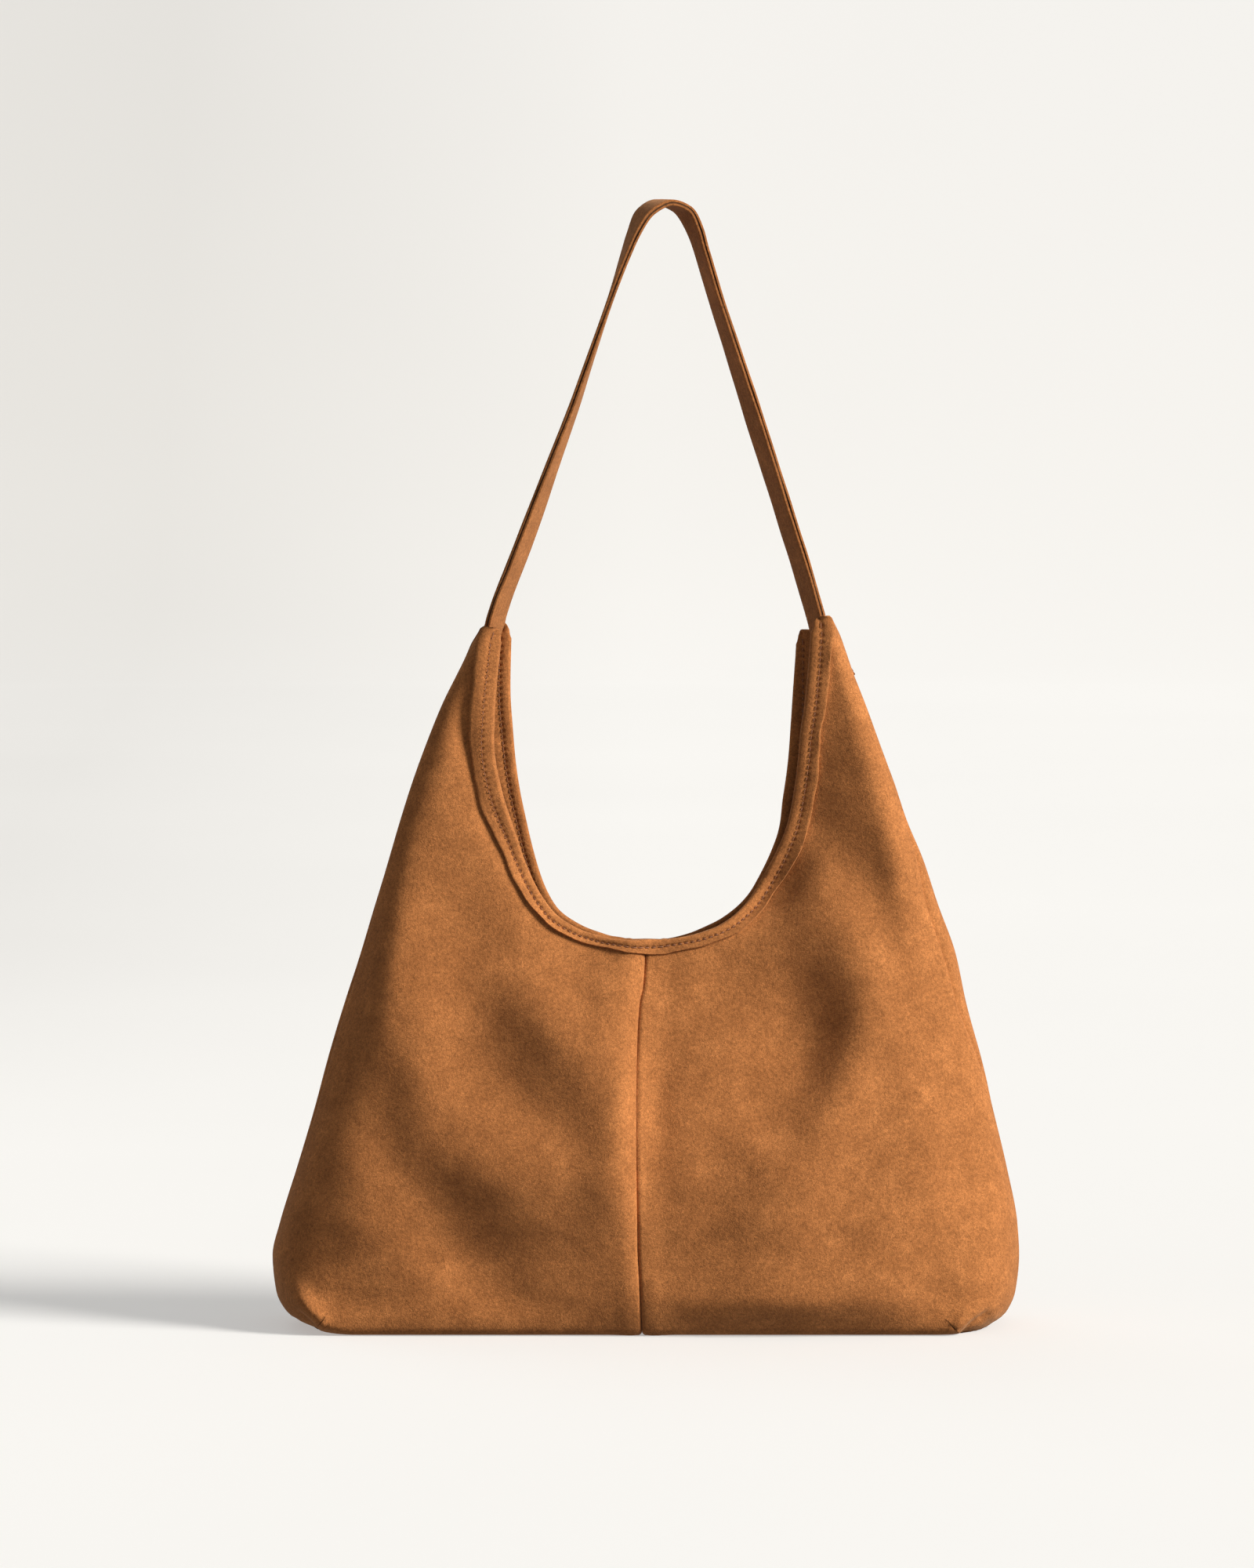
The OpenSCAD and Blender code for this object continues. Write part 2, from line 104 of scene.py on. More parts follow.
# Values by height: the bag's depth, how far its sides round in, and the linings' distance inside.
DEPTH = [
    (0, 98), (4, 102), (12, 106), (35, 110), (60, 109), (80, 101.2), (120, 83.6), (160, 66),
    (200, 48.4), (219, 40), (260, 32), (330, 29), (398, 28)]
ROUND = {
    LEFT: [(0, 26), (18, 28), (46, 52), (100, 50), (219, 45), (260, 38), (300, 24), (360, 12), (398, 6)],
    RIGHT: [(0, 32), (18, 34), (50, 48), (100, 50), (219, 45), (260, 38), (300, 24), (360, 12), (398, 6)]}
LINING_INSET = {
    FRONT: [(0, 3.8), (20, 3.6), (70, 2.4), (200, 1.9), (398, 1.7)],
    BACK: [(0, 3.8), (12, 3.9), (55, 8), (210, 8), (217, 3.4), (236, 1.8), (398, 1.7)]}
LINING_END = {FRONT: 9.0, BACK: 3.0}     # how far below the rim each lining ends

# How the rims are turned at the ears: sideways shift and forward flare of each rim, by height.
EAR_SHIFT = {
    (LEFT, FRONT): [(228, 0), (250, -2), (274, -4), (300, -7), (327, -8.5), (345, -7), (360, -5),
                    (386, -1), (398, 1)],
    (LEFT, BACK): [(228, 0), (274, 2.4), (350, 2.6), (398, 5.5)],
    (RIGHT, FRONT): [(228, 0), (274, 0), (336, -0.5), (353, 0.6), (398, 1.5)],
    (RIGHT, BACK): [(228, 0), (274, -2), (300, -5), (398, -6)]}
EAR_FLARE = {
    (LEFT, FRONT): [(236, 0), (274, 2.5), (310, 4), (398, 3)],
    (LEFT, BACK): [(236, 0), (398, 0)],
    (RIGHT, FRONT): [(236, 0), (274, 2), (310, 3), (398, 2)],
    (RIGHT, BACK): [(236, 0), (398, 0)]}
# How far each rim curls into the mouth, by height, or away from it if negative.
RIM_CURL = {
    (LEFT, FRONT): [(236, 0), (274, 2), (310, 5), (398, 5.5)],
    (LEFT, BACK): [(236, 0), (398, 0)],
    (RIGHT, FRONT): [(236, 0), (274, 1), (398, 1.5)],
    (RIGHT, BACK): [(236, 0), (340, 0), (372, -3), (398, -6)]}
# How much higher or lower each ear's tip ends.
EAR_TIP = {(LEFT, FRONT): 0, (LEFT, BACK): 1.5, (RIGHT, FRONT): 6.5, (RIGHT, BACK): -3}
EAR_ROUNDING = 3.0       # how far the ends of an ear's top are rounded down
MOUTH_LIFT = {FRONT: 1.2, BACK: -2.2}    # how much higher each rim's lowest stretch lies
MOUTH_LOW = (4, 219)     # x and z of that stretch
# Visible width of the binding across the bag.
BAND_WIDTH = [
    (-100, 12.5), (-84, 12), (-72, 8.6), (-60, 7.6), (-25, 6.4), (0, 6.2), (30, 7), (70, 9.5),
    (105, 10.5)]

# The centre seam wanders a little, and the side seams lie a little forward of the widest line.
SEAM_X = [(0, -2.2), (31, -3.5), (53, -4.4), (125, -4.4), (167, -4), (185, -3), (195, -0.9), (219, 0.4)]
SIDE_SEAM_Y = {
    LEFT: [(0, 0), (60, 0), (110, 7), (200, 4), (260, 0), (398, 0)],
    RIGHT: [(0, 0), (120, 0), (150, 8), (180, 12), (235, 11), (290, 3), (320, 0), (398, 0)]}

# Folds under the two box corners: foot and top of the lip, and the end of the short slit.
CORNER_TUCKS = {LEFT: ((-182, 0.5), (-192, 13), (-196, 6)), RIGHT: ((174, 0), (188, 13), (195, 4))}
TUCK_DEPTH, LIP_RISE, SLIT_DEPTH = 6.5, 1.8, 2.4

# How deep the suede dips into its centre and side seams, and how far it swells beside them.
CENTRE_DIP, CENTRE_SWELL = 1.6, 0.7
SIDE_DIP, SIDE_SWELL = 1.1, 0.3

# Soft folds of the two faces. Each is a long swell, or a hollow if its height is negative:
# middle x and z, reach along and across it, direction in degrees from the floor, height.
# The front's rows are the rounded results of a separate fitting program, which matched them to
# the photograph's shading, except that (74, 12, ...) was changed and (-194, 20, ...) was added
# by hand. The back's rows were chosen one by one.
FRONT_FOLDS = [
    (-183, 50, 85, 32, 95, -9), (-149, 218, 85, 26, 99, 14), (-138, 172, 85, 15, 82, -4.3),
    (-119, 77, 85, 27, 127, -9), (-98, 266, 85, 23, 89, -2), (-81, 300, 75, 13, 111, -3.7),
    (-59, 95, 85, 32, 179, 14), (-46, 165, 48, 27, 123, 13.5), (-43, 246, 48, 15, 134, -7.8),
    (-19, 219, 46, 23, 179, -2.6), (-9, 167, 84, 21, 87, 13.9), (0, 199, 73, 14, 74, -5.9),
    (6, 124, 64, 13, 90, -8), (49, 193, 29, 16, 134, -1.8), (65, 127, 32, 15, 121, -2.9),
    (71, 248, 23, 12, 42, -9), (74, 152, 31, 20, 90, -9), (74, 12, 85, 30, 8, 9),
    (81, 303, 48, 23, 70, -9), (89, 197, 25, 15, 4, -4.5), (89, 176, 23, 18, 63, -9),
    (90, 140, 85, 32, 77, 14), (95, 154, 35, 15, 67, -9), (113, 261, 32, 16, 112, -6.5),
    (131, 256, 54, 15, 99, -8.4), (143, 264, 85, 32, 79, 14), (176, 45, 82, 29, 89, -9),
    (196, 94, 53, 21, 106, -9), (-194, 20, 12, 6, 130, 6)]
BACK_FOLDS = [
    (-118, 175, 80, 24, 115, 6), (-66, 95, 46, 24, 118, 5), (118, 200, 78, 26, 80, 7),
    (88, 112, 50, 24, 70, 6), (44, 165, 48, 24, 105, 4), (-40, 172, 42, 22, 60, 4),
    (150, 100, 50, 22, 95, 5), (-160, 60, 60, 26, 120, -4), (10, 60, 50, 24, 20, 3)]

# The strap's centreline from one ear to the other: x, y, z and the turn of its width, in degrees.
STRAP_PATH = [
    (-89, 11, 378, -24), (-87.5, 10, 384, -24), (-86, 6, 391, -24), (-84.5, 1, 400, -24),
    (-81.3, -0.5, 411, -24), (-73, -1.5, 432.5, -23), (-64.7, -2.5, 454.5, -21), (-56.8, -3.5, 476.5, -17),
    (-48.8, -4.5, 498.5, -13), (-40.7, -5.2, 520.5, -9), (-33.4, -6, 542.5, -5),
    (-26, -6.5, 564.5, -2), (-18.5, -7, 586.5, 1), (-11, -7.2, 608.5, 8), (-6.5, -6.8, 620.5, 14),
    (-0.5, -4.5, 631.5, 24), (10, 0, 637, 30), (20.5, 4.5, 633, 28), (27, 6.5, 622, 22),
    (31.5, 7, 608.5, 17), (38, 6.8, 586.5, 17), (45, 6.2, 564.5, 19), (52, 5.6, 542.5, 21),
    (59, 5, 520.5, 23), (66, 4.2, 498.5, 24), (73, 3.4, 476.5, 24), (79.8, 2.5, 454.5, 24),
    (86.8, 1.5, 432.5, 24), (93, 0.5, 411, 24), (96, 0, 400, 24), (99, 0, 388, 24),
    (103, 0, 378, 24), (107, 0, 368, 24)]

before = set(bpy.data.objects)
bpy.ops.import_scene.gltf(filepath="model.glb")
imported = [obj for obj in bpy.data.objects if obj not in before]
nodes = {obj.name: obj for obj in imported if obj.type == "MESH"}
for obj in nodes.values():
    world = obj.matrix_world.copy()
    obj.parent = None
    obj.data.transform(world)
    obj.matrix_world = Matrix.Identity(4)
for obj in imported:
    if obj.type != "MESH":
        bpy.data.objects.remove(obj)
cad_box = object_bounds()


# ---- Curves and grids ----

def through(points, at):
    """A smooth curve through (key, value) points that doesn't overshoot them."""
    keys, values = np.array(points, float).T
    rise = np.diff(values) / np.diff(keys)
    same = rise[1:] * rise[:-1] > 0
    middle = np.where(same, 2 * rise[1:] * rise[:-1] / np.where(same, rise[1:] + rise[:-1], 1), 0)
    slope = np.concatenate([[rise[0]], middle, [rise[-1]]])
    at = np.clip(np.asarray(at, float), keys[0], keys[-1])
    i = np.clip(np.searchsorted(keys, at) - 1, 0, len(keys) - 2)
    step = keys[i + 1] - keys[i]
    u = (at - keys[i]) / step
    return (values[i] * (1 + 2 * u) * (1 - u) ** 2 + slope[i] * step * u * (1 - u) ** 2
            + values[i + 1] * u * u * (3 - 2 * u) + slope[i + 1] * step * u * u * (u - 1))


def smoothstep(low, high, value):
    u = np.clip((value - low) / (high - low), 0, 1)
    return u * u * (3 - 2 * u)


def unit(v):
    return v / np.maximum(np.linalg.norm(v, axis=-1, keepdims=True), 1e-9)


def arc_length(path):
    steps = np.linalg.norm(np.diff(path, axis=-2), axis=-1)
    return np.concatenate([np.zeros(steps.shape[:-1] + (1,)), np.cumsum(steps, -1)], -1)


def along(path, distances):
    """Points at these distances along one polyline."""
    run = arc_length(path)
    return np.stack([np.interp(distances, run, path[:, k]) for k in range(3)], -1)


def grid_normals(grid):
    """Unit normals of a grid of points, by its two directions."""
    return unit(np.cross(np.gradient(grid, axis=0), np.gradient(grid, axis=1)))


def grid_faces(rows, columns, start=0, turned=False, ring=False):
    """Four-sided faces of a grid of points numbered row by row, closed across its columns if ring."""
    r, c = np.meshgrid(np.arange(rows - 1), np.arange(columns if ring else columns - 1), indexing="ij")
    a = r * columns + c
    b = r * columns + (c + 1) % columns
    quads = np.stack([a, b, b + columns, a + columns], -1).reshape(-1, 4) + start
    return quads[:, ::-1] if turned else quads


def border(rows, columns):
    """The numbers of a grid's outer points, in order round it."""
    n = np.arange(rows * columns).reshape(rows, columns)
    return np.concatenate([n[0, :-1], n[:-1, -1], n[-1, :0:-1], n[:0:-1, 0]])


# ---- Mesh objects ----

def mesh_object(name, points, faces, material, sharp=55):
    """A smooth-shaded object from points in millimetres, with edges sharper than this kept crisp."""
    mesh = bpy.data.meshes.new(name)
    mesh.from_pydata((np.asarray(points, float) * MM).tolist(), [], [tuple(f) for f in faces])
    mesh.update()
    if volume(mesh) < 0:
        mesh.flip_normals()
    mesh.shade_smooth()
    mesh.set_sharp_from_angle(angle=math.radians(sharp))
    mesh.materials.append(material)
    made = bpy.data.objects.new(name, mesh)
    bpy.context.scene.collection.objects.link(made)
    return made


def volume(mesh):
    """The signed volume inside a mesh, which is negative if its faces look inwards."""
    body = bmesh.new()
    body.from_mesh(mesh)
    inside = body.calc_volume(signed=True)
    body.free()
    return inside


def shell(name, outer, inner, material, keep=None):
    """A closed sheet between two grids of points. keep says which of its cells are there."""
    rows, columns = outer.shape[:2]
    count = rows * columns
    quads = grid_faces(rows, columns)
    if keep is None:
        ring = border(rows, columns)
        after = np.roll(ring, -1)
        walls = np.stack([ring, ring + count, after + count, after], -1)
    else:
        quads = quads[keep.ravel()]
        walls = open_edges(quads, count)
    faces = np.concatenate([quads, quads[:, ::-1] + count, walls])
    points = np.concatenate([outer.reshape(-1, 3), inner.reshape(-1, 3)])
    used, faces = np.unique(faces, return_inverse=True)
    return mesh_object(name, points[used], faces.reshape(-1, 4), material)


def open_edges(quads, count):
    """Walls between the two skins along every edge that only one face has."""
    edges = np.concatenate([quads[:, [k, (k + 1) % 4]] for k in range(4)])
    there = {tuple(e) for e in edges}
    loose = np.array([e for e in edges if (e[1], e[0]) not in there])
    return np.stack([loose[:, 1], loose[:, 0], loose[:, 0] + count, loose[:, 1] + count], -1)


def tube(name, rings, material, sharp=55):
    """A closed solid swept through rings of points, with flat ends."""
    rows, columns = rings.shape[:2]
    sides = grid_faces(rows, columns, ring=True)
    faces = [tuple(f) for f in sides] + [tuple(range(columns))[::-1],
                                         tuple(range((rows - 1) * columns, rows * columns))]
    return mesh_object(name, rings.reshape(-1, 3), faces, material, sharp)


# ---- The bag's surface ----

def side_ribs(side):
    return np.array(LEFT_RIBS if side == LEFT else RIGHT_RIBS, float)


def outline_x(side, z):
    """The bag's silhouette at a height."""
    rows = side_ribs(side)[:FOOT_RIB + 1][::-1]
    return through(rows[:, [3, 2]], z)


def rim_x(side, z):
    """The mouth's rim at a height."""
    rows = side_ribs(side)[:RIM_RIBS][::-1]
    return through(rows[:, [1, 0]], z)


def rib(side, t):
    """Rim point and edge point (x, z) of the rib at number t, which need not be whole."""
    rows = side_ribs(side)
    numbered = [np.stack([np.arange(len(rows)), rows[:, k]], -1) for k in range(4)]
    rx, rz, ex, ez = (through(n, t) for n in numbered)
    ez = np.where(t >= FOOT_RIB, 0, np.maximum(ez, 0))
    return rx, rz, np.where(t < FOOT_RIB, outline_x(side, ez), ex), ez


def turn_in(s):
    return np.sqrt(np.clip(1 - (1 - np.clip(s, 0, 1)) ** 2, 0, 1))


def half_depth(x, z, inset):
    """Half of the bag's depth at a place, inset millimetres inside its outer skin."""
    into_fold = np.clip(BASE_FOLD_R - z, 0, None)
    under = BASE_FOLD_R - np.sqrt(np.clip(BASE_FOLD_R ** 2 - into_fold ** 2, 0, None))
    half = through(DEPTH, z) / 2 - np.where(z < BASE_FOLD_R, under, 0) - inset
    from_left = (x - outline_x(LEFT, z) - inset) / through(ROUND[LEFT], z)
    from_right = (outline_x(RIGHT, z) - inset - x) / through(ROUND[RIGHT], z)
    return half * turn_in(from_left) * turn_in(from_right)


def folds(x, z, face):
    """The height of all soft folds at a place."""
    total = np.zeros(np.shape(x))
    rows = FRONT_FOLDS if face == FRONT else BACK_FOLDS
    for middle_x, middle_z, reach, width, turn, height in rows:
        c, s = math.cos(math.radians(turn)), math.sin(math.radians(turn))
        u = ((x - middle_x) * c + (z - middle_z) * s) / reach
        v = ((z - middle_z) * c - (x - middle_x) * s) / width
        total = total + height * np.exp(-u * u - v * v)
    return total


def waves(x, z):
    """Slow unevenness of hanging suede, about half a millimetre."""
    broad = 0.35 * np.sin(x / 19 + z / 33) * np.sin(z / 23 - x / 41)
    narrow = 0.25 * np.sin(x / 9.5 - z / 13 + 1) * np.sin(z / 11 + 2)
    return broad + narrow


def surface(x, z, side, face, inset=0.0, with_folds=True):
    """The bag's surface over a place of its outline, with its turned ears and folds."""
    skin = half_depth(x, z, 0.0)
    from_rim = np.abs(x - rim_x(side, z))
    near_rim = np.exp(-(from_rim / EAR_WRAP) ** 2)
    wall = np.clip(skin / np.maximum(through(DEPTH, z) / 2, 1), 0, 1)
    shift = through(EAR_SHIFT[side, face], z) * near_rim * wall
    ear_flare = through(EAR_FLARE[side, face], z)
    flare = ear_flare * np.exp(-(from_rim / FLARE_REACH) ** 2) * wall
    curl = through(RIM_CURL[side, face], z) * np.exp(-(from_rim / CURL_REACH) ** 2) * wall
    hollow = 0.3 * ear_flare * near_rim * wall
    y = half_depth(x, z, inset) + flare - curl - hollow
    if with_folds:
        unevenness = folds(x, z, face) + waves(x * face, z)
        y = y + unevenness * wall ** 2 * smoothstep(0, FOLDS_FROM_Z, z)
    y = y - corner_tuck(x, z, side) * np.clip(skin / TUCK_FADE, 0, 1)
    seam = through(SEAM_X, z) * np.exp(-(x / SEAM_PULL) ** 2)
    lift = ear_lift(x, z, side, face)
    return np.stack([x + shift + seam, face * y, (z + lift) * Z_SCALE + 0 * x], -1)


def ear_lift(x, z, side, face):
    """How the top of an ear is rounded off and set higher or lower."""
    outer, inner = outline_x(side, z), rim_x(side, z)
    across = np.clip((x - outer) / (inner - outer), 0, 1)
    rounded = EAR_ROUNDING * (2 * across - 1) ** 4 * smoothstep(386, DRAWN_EAR_H, z)
    low_x, low_z = MOUTH_LOW
    near_low = np.exp(-((z - low_z) / 9) ** 2) * np.exp(-((x - low_x) / 40) ** 2)
    tip = EAR_TIP[side, face] * smoothstep(366, DRAWN_EAR_H, z)
    return tip - rounded + near_low * MOUTH_LIFT[face]


def corner_tuck(x, z, side):
    """How far the suede is folded in under the box corner, below the lip of the fold."""
    foot, tip, end = CORNER_TUCKS[side]
    along_x, along_z = tip[0] - foot[0], tip[1] - foot[1]
    length = math.hypot(along_x, along_z)
    u = ((x - foot[0]) * along_x + (z - foot[1]) * along_z) / length ** 2
    below = side * ((x - foot[0]) * along_z - (z - foot[1]) * along_x) / length
    bow = below + 2.0 * np.sin(math.pi * np.clip(u, 0, 1))
    within = smoothstep(-0.35, 0.2, u) * smoothstep(1.35, 0.8, u)
    tucked = TUCK_DEPTH * smoothstep(0.0, 2.2, bow) * np.exp(-np.clip(bow, 0, None) / 11)
    lip = LIP_RISE * np.exp(-((bow + 3.4) / 3.4) ** 2)
    slit = SLIT_DEPTH * np.exp(-(segment_distance(x, z, tip, end) / 1.2) ** 2)
    return within * (tucked - lip) + slit


def segment_distance(x, z, a, b):
    """Distance from places of the outline to the line between two of them."""
    step = (b[0] - a[0], b[1] - a[1])
    u = np.clip(((x - a[0]) * step[0] + (z - a[1]) * step[1]) / (step[0] ** 2 + step[1] ** 2), 0, 1)
    return np.hypot(x - a[0] - u * step[0], z - a[1] - u * step[1])


def rib_paths(side, face, ts, inset=0.0, with_folds=True, samples=260):
    """For each rib, a fine path over the surface: under the base, round its fold and up to the rim."""
    rx, rz, ex, ez = rib(side, ts)
    under = np.linspace(0, 1, 40)[:-1]
    up = np.linspace(0, 1, samples) ** 2
    foot_half = half_depth(ex, np.zeros_like(ex), inset)
    base_y = under[None, :] * np.where(ts >= FOOT_RIB, foot_half, 0)[:, None]
    x = ex[:, None] + up[None, :] * (rx - ex)[:, None]
    z = ez[:, None] + up[None, :] * (rz - ez)[:, None]
    rise = surface(x, z, side, face, inset, with_folds)
    base = np.stack([rise[:, :1, 0] + 0 * base_y, face * base_y, rise[:, :1, 2] + 0 * base_y], -1)
    paths = np.concatenate([base, rise], 1)
    paths[:, :, 2] = np.maximum(paths[:, :, 2], inset)
    return paths


def spread_ribs(side, count):
    """Rib numbers that are evenly apart on the panel, and closer at the centre seam."""
    fine = np.linspace(0, len(LEFT_RIBS) - 1, 1200)
    paths = rib_paths(side, FRONT, fine, with_folds=False, samples=60)
    shares = np.array([0, 0.08, 0.2, 0.45, 1.0])
    marks = np.stack([along(path, arc_length(path)[-1] * shares) for path in paths])
    apart = np.linalg.norm(np.gradient(marks, axis=0), axis=-1).mean(-1)
    seam_boost = 4 * np.exp(-(marks[:, 0, 0] / 7) ** 2)
    run = np.cumsum((apart + 1e-3) * (1 + seam_boost))
    return np.interp(np.linspace(run[0], run[-1], count), run, fine)


def side_seam_start(path, side, t):
    """How far along a front rib's path the side seam lies."""
    if t >= FOOT_RIB - 1:
        return 0.0
    run = arc_length(path)
    forward = through(SIDE_SEAM_Y[side], path[0, 2])
    return float(np.interp(forward, -path[:200, 1], run[:200]))


def panel_grid(side, face, columns=240, rows=160):
    """Points of one suede panel: rows from the seam to the rim, columns from the ear to the centre."""
    ts = spread_ribs(side, columns)
    front = rib_paths(side, FRONT, ts)
    back = rib_paths(side, BACK, ts) if face == BACK else None
    grid = np.zeros((columns, rows, 3))
    u = np.linspace(0, 1, rows)
    spacing = 0.45 * u + 0.55 * u * u
    for i, t in enumerate(ts):
        start = side_seam_start(front[i], side, t)
        if face == FRONT:
            path, first = front[i], start
        else:
            wrapped = along(front[i], np.linspace(start, 0, 30))[:-1]
            path, first = np.concatenate([wrapped, back[i]]), 0.0
        length = arc_length(path)[-1]
        grid[i] = along(path, first + spacing * (length - first))
    return grid


def outward(grid, face):
    """Normals that point out of the bag."""
    normals = grid_normals(grid)
    middle = normals[grid.shape[0] // 2, grid.shape[1] // 2]
    return normals * (1 if middle[1] * face > 0 else -1)


def seam_dips(grid, normals):
    """How the suede dips into the centre seam and the side seam, with a slight swell beside them."""
    from_start = arc_length(grid)
    centre = np.abs(grid[..., 0] - through(SEAM_X, grid[..., 2]))
    centre_swell = CENTRE_SWELL * np.exp(-((centre - 7) / 6) ** 2)
    middle = CENTRE_DIP * np.exp(-(centre / 0.8) ** 1.2) - centre_swell
    side_swell = SIDE_SWELL * np.exp(-((from_start - 5) / 4) ** 2)
    at_side = SIDE_DIP * np.exp(-(from_start / 1.3) ** 1.4) - side_swell
    sideways = unit(normals * np.array([1, 0, 1]))
    return normals * middle[..., None] + sideways * at_side[..., None]


def make_panel(name, side, face, material):
    grid = panel_grid(side, face)
    normals = outward(grid, face)
    grid = grid - seam_dips(grid, normals)
    grid[..., 2] = np.maximum(grid[..., 2], 0.0)
    inner = grid - normals * SUEDE_T
    inner[..., 2] = np.maximum(inner[..., 2], SUEDE_T)
    if side * face < 0:
        grid, inner = grid[::-1], inner[::-1]
    return shell(name, grid, inner, material)


# ---- Rim bindings and their stitches ----

def rim_stations(face, pitch):
    """Strips of the surface below the rim, from the left ear's top round to the right ear's top."""
    strips = []
    for side in (LEFT, RIGHT):
        fine = np.linspace(0, len(LEFT_RIBS) - 1, 1500)
        paths = rib_paths(side, face, fine)[:, ::-1]
        run = arc_length(paths[:, 0])
        count = int(run[-1] / pitch)
        ts = np.interp(np.linspace(0, run[-1], count), run, fine)
        paths = rib_paths(side, face, ts)[:, ::-1]
        depths = np.linspace(0, 1.5 * FACING_W, 60)
        strip = np.stack([along(p, depths) for p in paths])
        strips.append(strip if side == LEFT else strip[::-1][1:])
    return np.concatenate(strips), depths


def binding_profile():
    """The folded band's section: distance below the rim and height over the panel, all round."""
    t = BINDING_T
    outside = [
        (BINDING_W, 0.1), (8.12, 0.7 * t), (7.8, t), (6.8, 1.1 * t), (5.6, 1.08 * t), (4.4, 0.94 * t),
        (3.9, 0.78 * t), (STITCH_D, 0.7 * t), (2.9, 0.8 * t), (2.1, 1.0 * t), (1.2, 1.12 * t)]
    middle, radius = -RIM_T / 2, RIM_T / 2 + 1.1 * t
    roll = [(-radius * math.sin(a) * 0.9, middle + radius * math.cos(a)) for a in np.linspace(0.2, 2.94, 9)]
    behind = [
        (1.2, 1.1 * t), (2.4, 0.95 * t), (STITCH_D, 0.72 * t), (4.4, 0.94 * t), (7, t), (FACING_W - 4, t),
        (FACING_W - 0.4, 0.8 * t), (FACING_W, 0.05), (10, 0.05), (5, 0.05), (2, 0.05)]
    inside = [(d, -RIM_T - n) for d, n in behind]
    hidden = [(0.4, -1.6), (-0.1, middle), (0.4, -0.25), (2, 0.05), (5, 0.08)]
    return outside + roll + inside + hidden


def raw_edge_wave(run):
    """The raw edge's waviness and its lift off the panel, along the rim."""
    wave = 0.5 * np.sin(run / 17) + 0.35 * np.sin(run / 7.3 + 1) + 0.2 * np.sin(run / 3.1 + 2)
    lift = 0.65 + 0.35 * np.sin(run / 23 + 0.6) + 0.25 * np.sin(run / 9 + 2)
    return wave, lift


def strip_points(strip, depths, d, n, normals, rim_out):
    """Points d below the rim and n above the surface, one for each station."""
    at = np.clip(d, 0, depths[-1])
    step = depths[1] - depths[0]
    i = np.clip((at / step).astype(int), 0, len(depths) - 2)
    u = (at / step - i)[:, None]
    rows = np.arange(len(strip))
    point = strip[rows, i] * (1 - u) + strip[rows, i + 1] * u
    normal = unit(normals[rows, i] * (1 - u) + normals[rows, i + 1] * u)
    beyond = np.minimum(d, 0)[:, None]
    return point - rim_out * beyond + normal * n[:, None]


def make_binding(name, face, material, thread):
    strip, depths = rim_stations(face, 0.56)
    run = arc_length(strip[:, 0])
    normals = outward(strip, face)
    rim_out = unit(strip[:, 0] - strip[:, 3])
    wave, lift = raw_edge_wave(run)
    stitch = (0.5 + 0.5 * np.cos(2 * math.pi * run / STITCH_PITCH)) ** 2
    wide = through(BAND_WIDTH, strip[:, 0, 0]) / BINDING_W
    end = np.minimum(run, run[-1] - run)
    wide = wide * (0.55 + 0.45 * turn_in(end / 5))
    rings = []
    for d, n in binding_profile():
        by_edge = float(smoothstep(5.2, 8, d)) if n > 0 else 0.0
        skin = 1 if n > 0.5 else -1 if n < -2.4 else 0
        hole = HOLE_DEPTH * stitch * math.exp(-((d - STITCH_D) / HOLE_REACH) ** 2) * skin
        below = (d * wide if d > 0 else d + 0 * wide) + wave * by_edge
        rings.append(strip_points(strip, depths, below, n + lift * by_edge - hole, normals, rim_out))
    band = tube(name, np.stack(rings, 1)[:, ::-1], material)
    threads = make_stitches(name + "_stitches", strip, depths, normals, rim_out, run, wide, thread)
    return band, threads


def thread_rings(start, end, up, radius, bulge):
    """Rings of one stitch, an arc of thread between two holes."""
    sides = 6
    line = unit(end - start)
    across = unit(np.cross(line, up))
    rings = []
    for u in (0.0, 0.12, 0.35, 0.65, 0.88, 1.0):
        rise = bulge * math.sin(math.pi * u) - 0.25 * abs(2 * u - 1) ** 3
        r = radius * (0.55 + 0.45 * math.sin(math.pi * min(max(u, 0.12), 0.88)))
        centre = start + (end - start) * u + up * rise
        angles = np.arange(sides) * 2 * math.pi / sides
        rings.append([centre + r * (math.cos(a) * across + math.sin(a) * up) for a in angles])
    return np.array(rings)


def joined_threads(name, all_rings, material):
    """Many separate threads in one object."""
    points, faces = [], []
    for rings in all_rings:
        start, (rows, sides) = len(points), rings.shape[:2]
        points.extend(rings.reshape(-1, 3))
        faces.extend(tuple(f) for f in grid_faces(rows, sides, start, ring=True))
        faces.append(tuple(range(start, start + sides))[::-1])
        faces.append(tuple(range(start + (rows - 1) * sides, start + rows * sides)))
    return mesh_object(name, points, faces, material)


def make_stitches(name, strip, depths, normals, rim_out, run, wide, material):
    """The stitch row seen on both sides of the band."""
    threads = []
    count = int(run[-1] / STITCH_PITCH)
    for over, outside in ((0.86 * BINDING_T, 1), (-RIM_T - 0.86 * BINDING_T, -1)):
        for k in range(1, count):
            places = [STITCH_PITCH * (k - 0.5 + s) for s in (0.16, 0.84)]
            ends, ups = [], []
            for place in places:
                i = min(int(np.searchsorted(run, place)), len(run) - 1)
                one = slice(i, i + 1)
                below, height = STITCH_D * wide[one], np.array([over])
                point = strip_points(strip[one], depths, below, height, normals[one], rim_out[one])
                ends.append(point[0])
                ups.append(normals[i, 10] * outside)
            threads.append(thread_rings(ends[0], ends[1], unit(ups[0] + ups[1]), 0.3, 0.22))
    return joined_threads(name, threads, material)


# ---- Linings ----

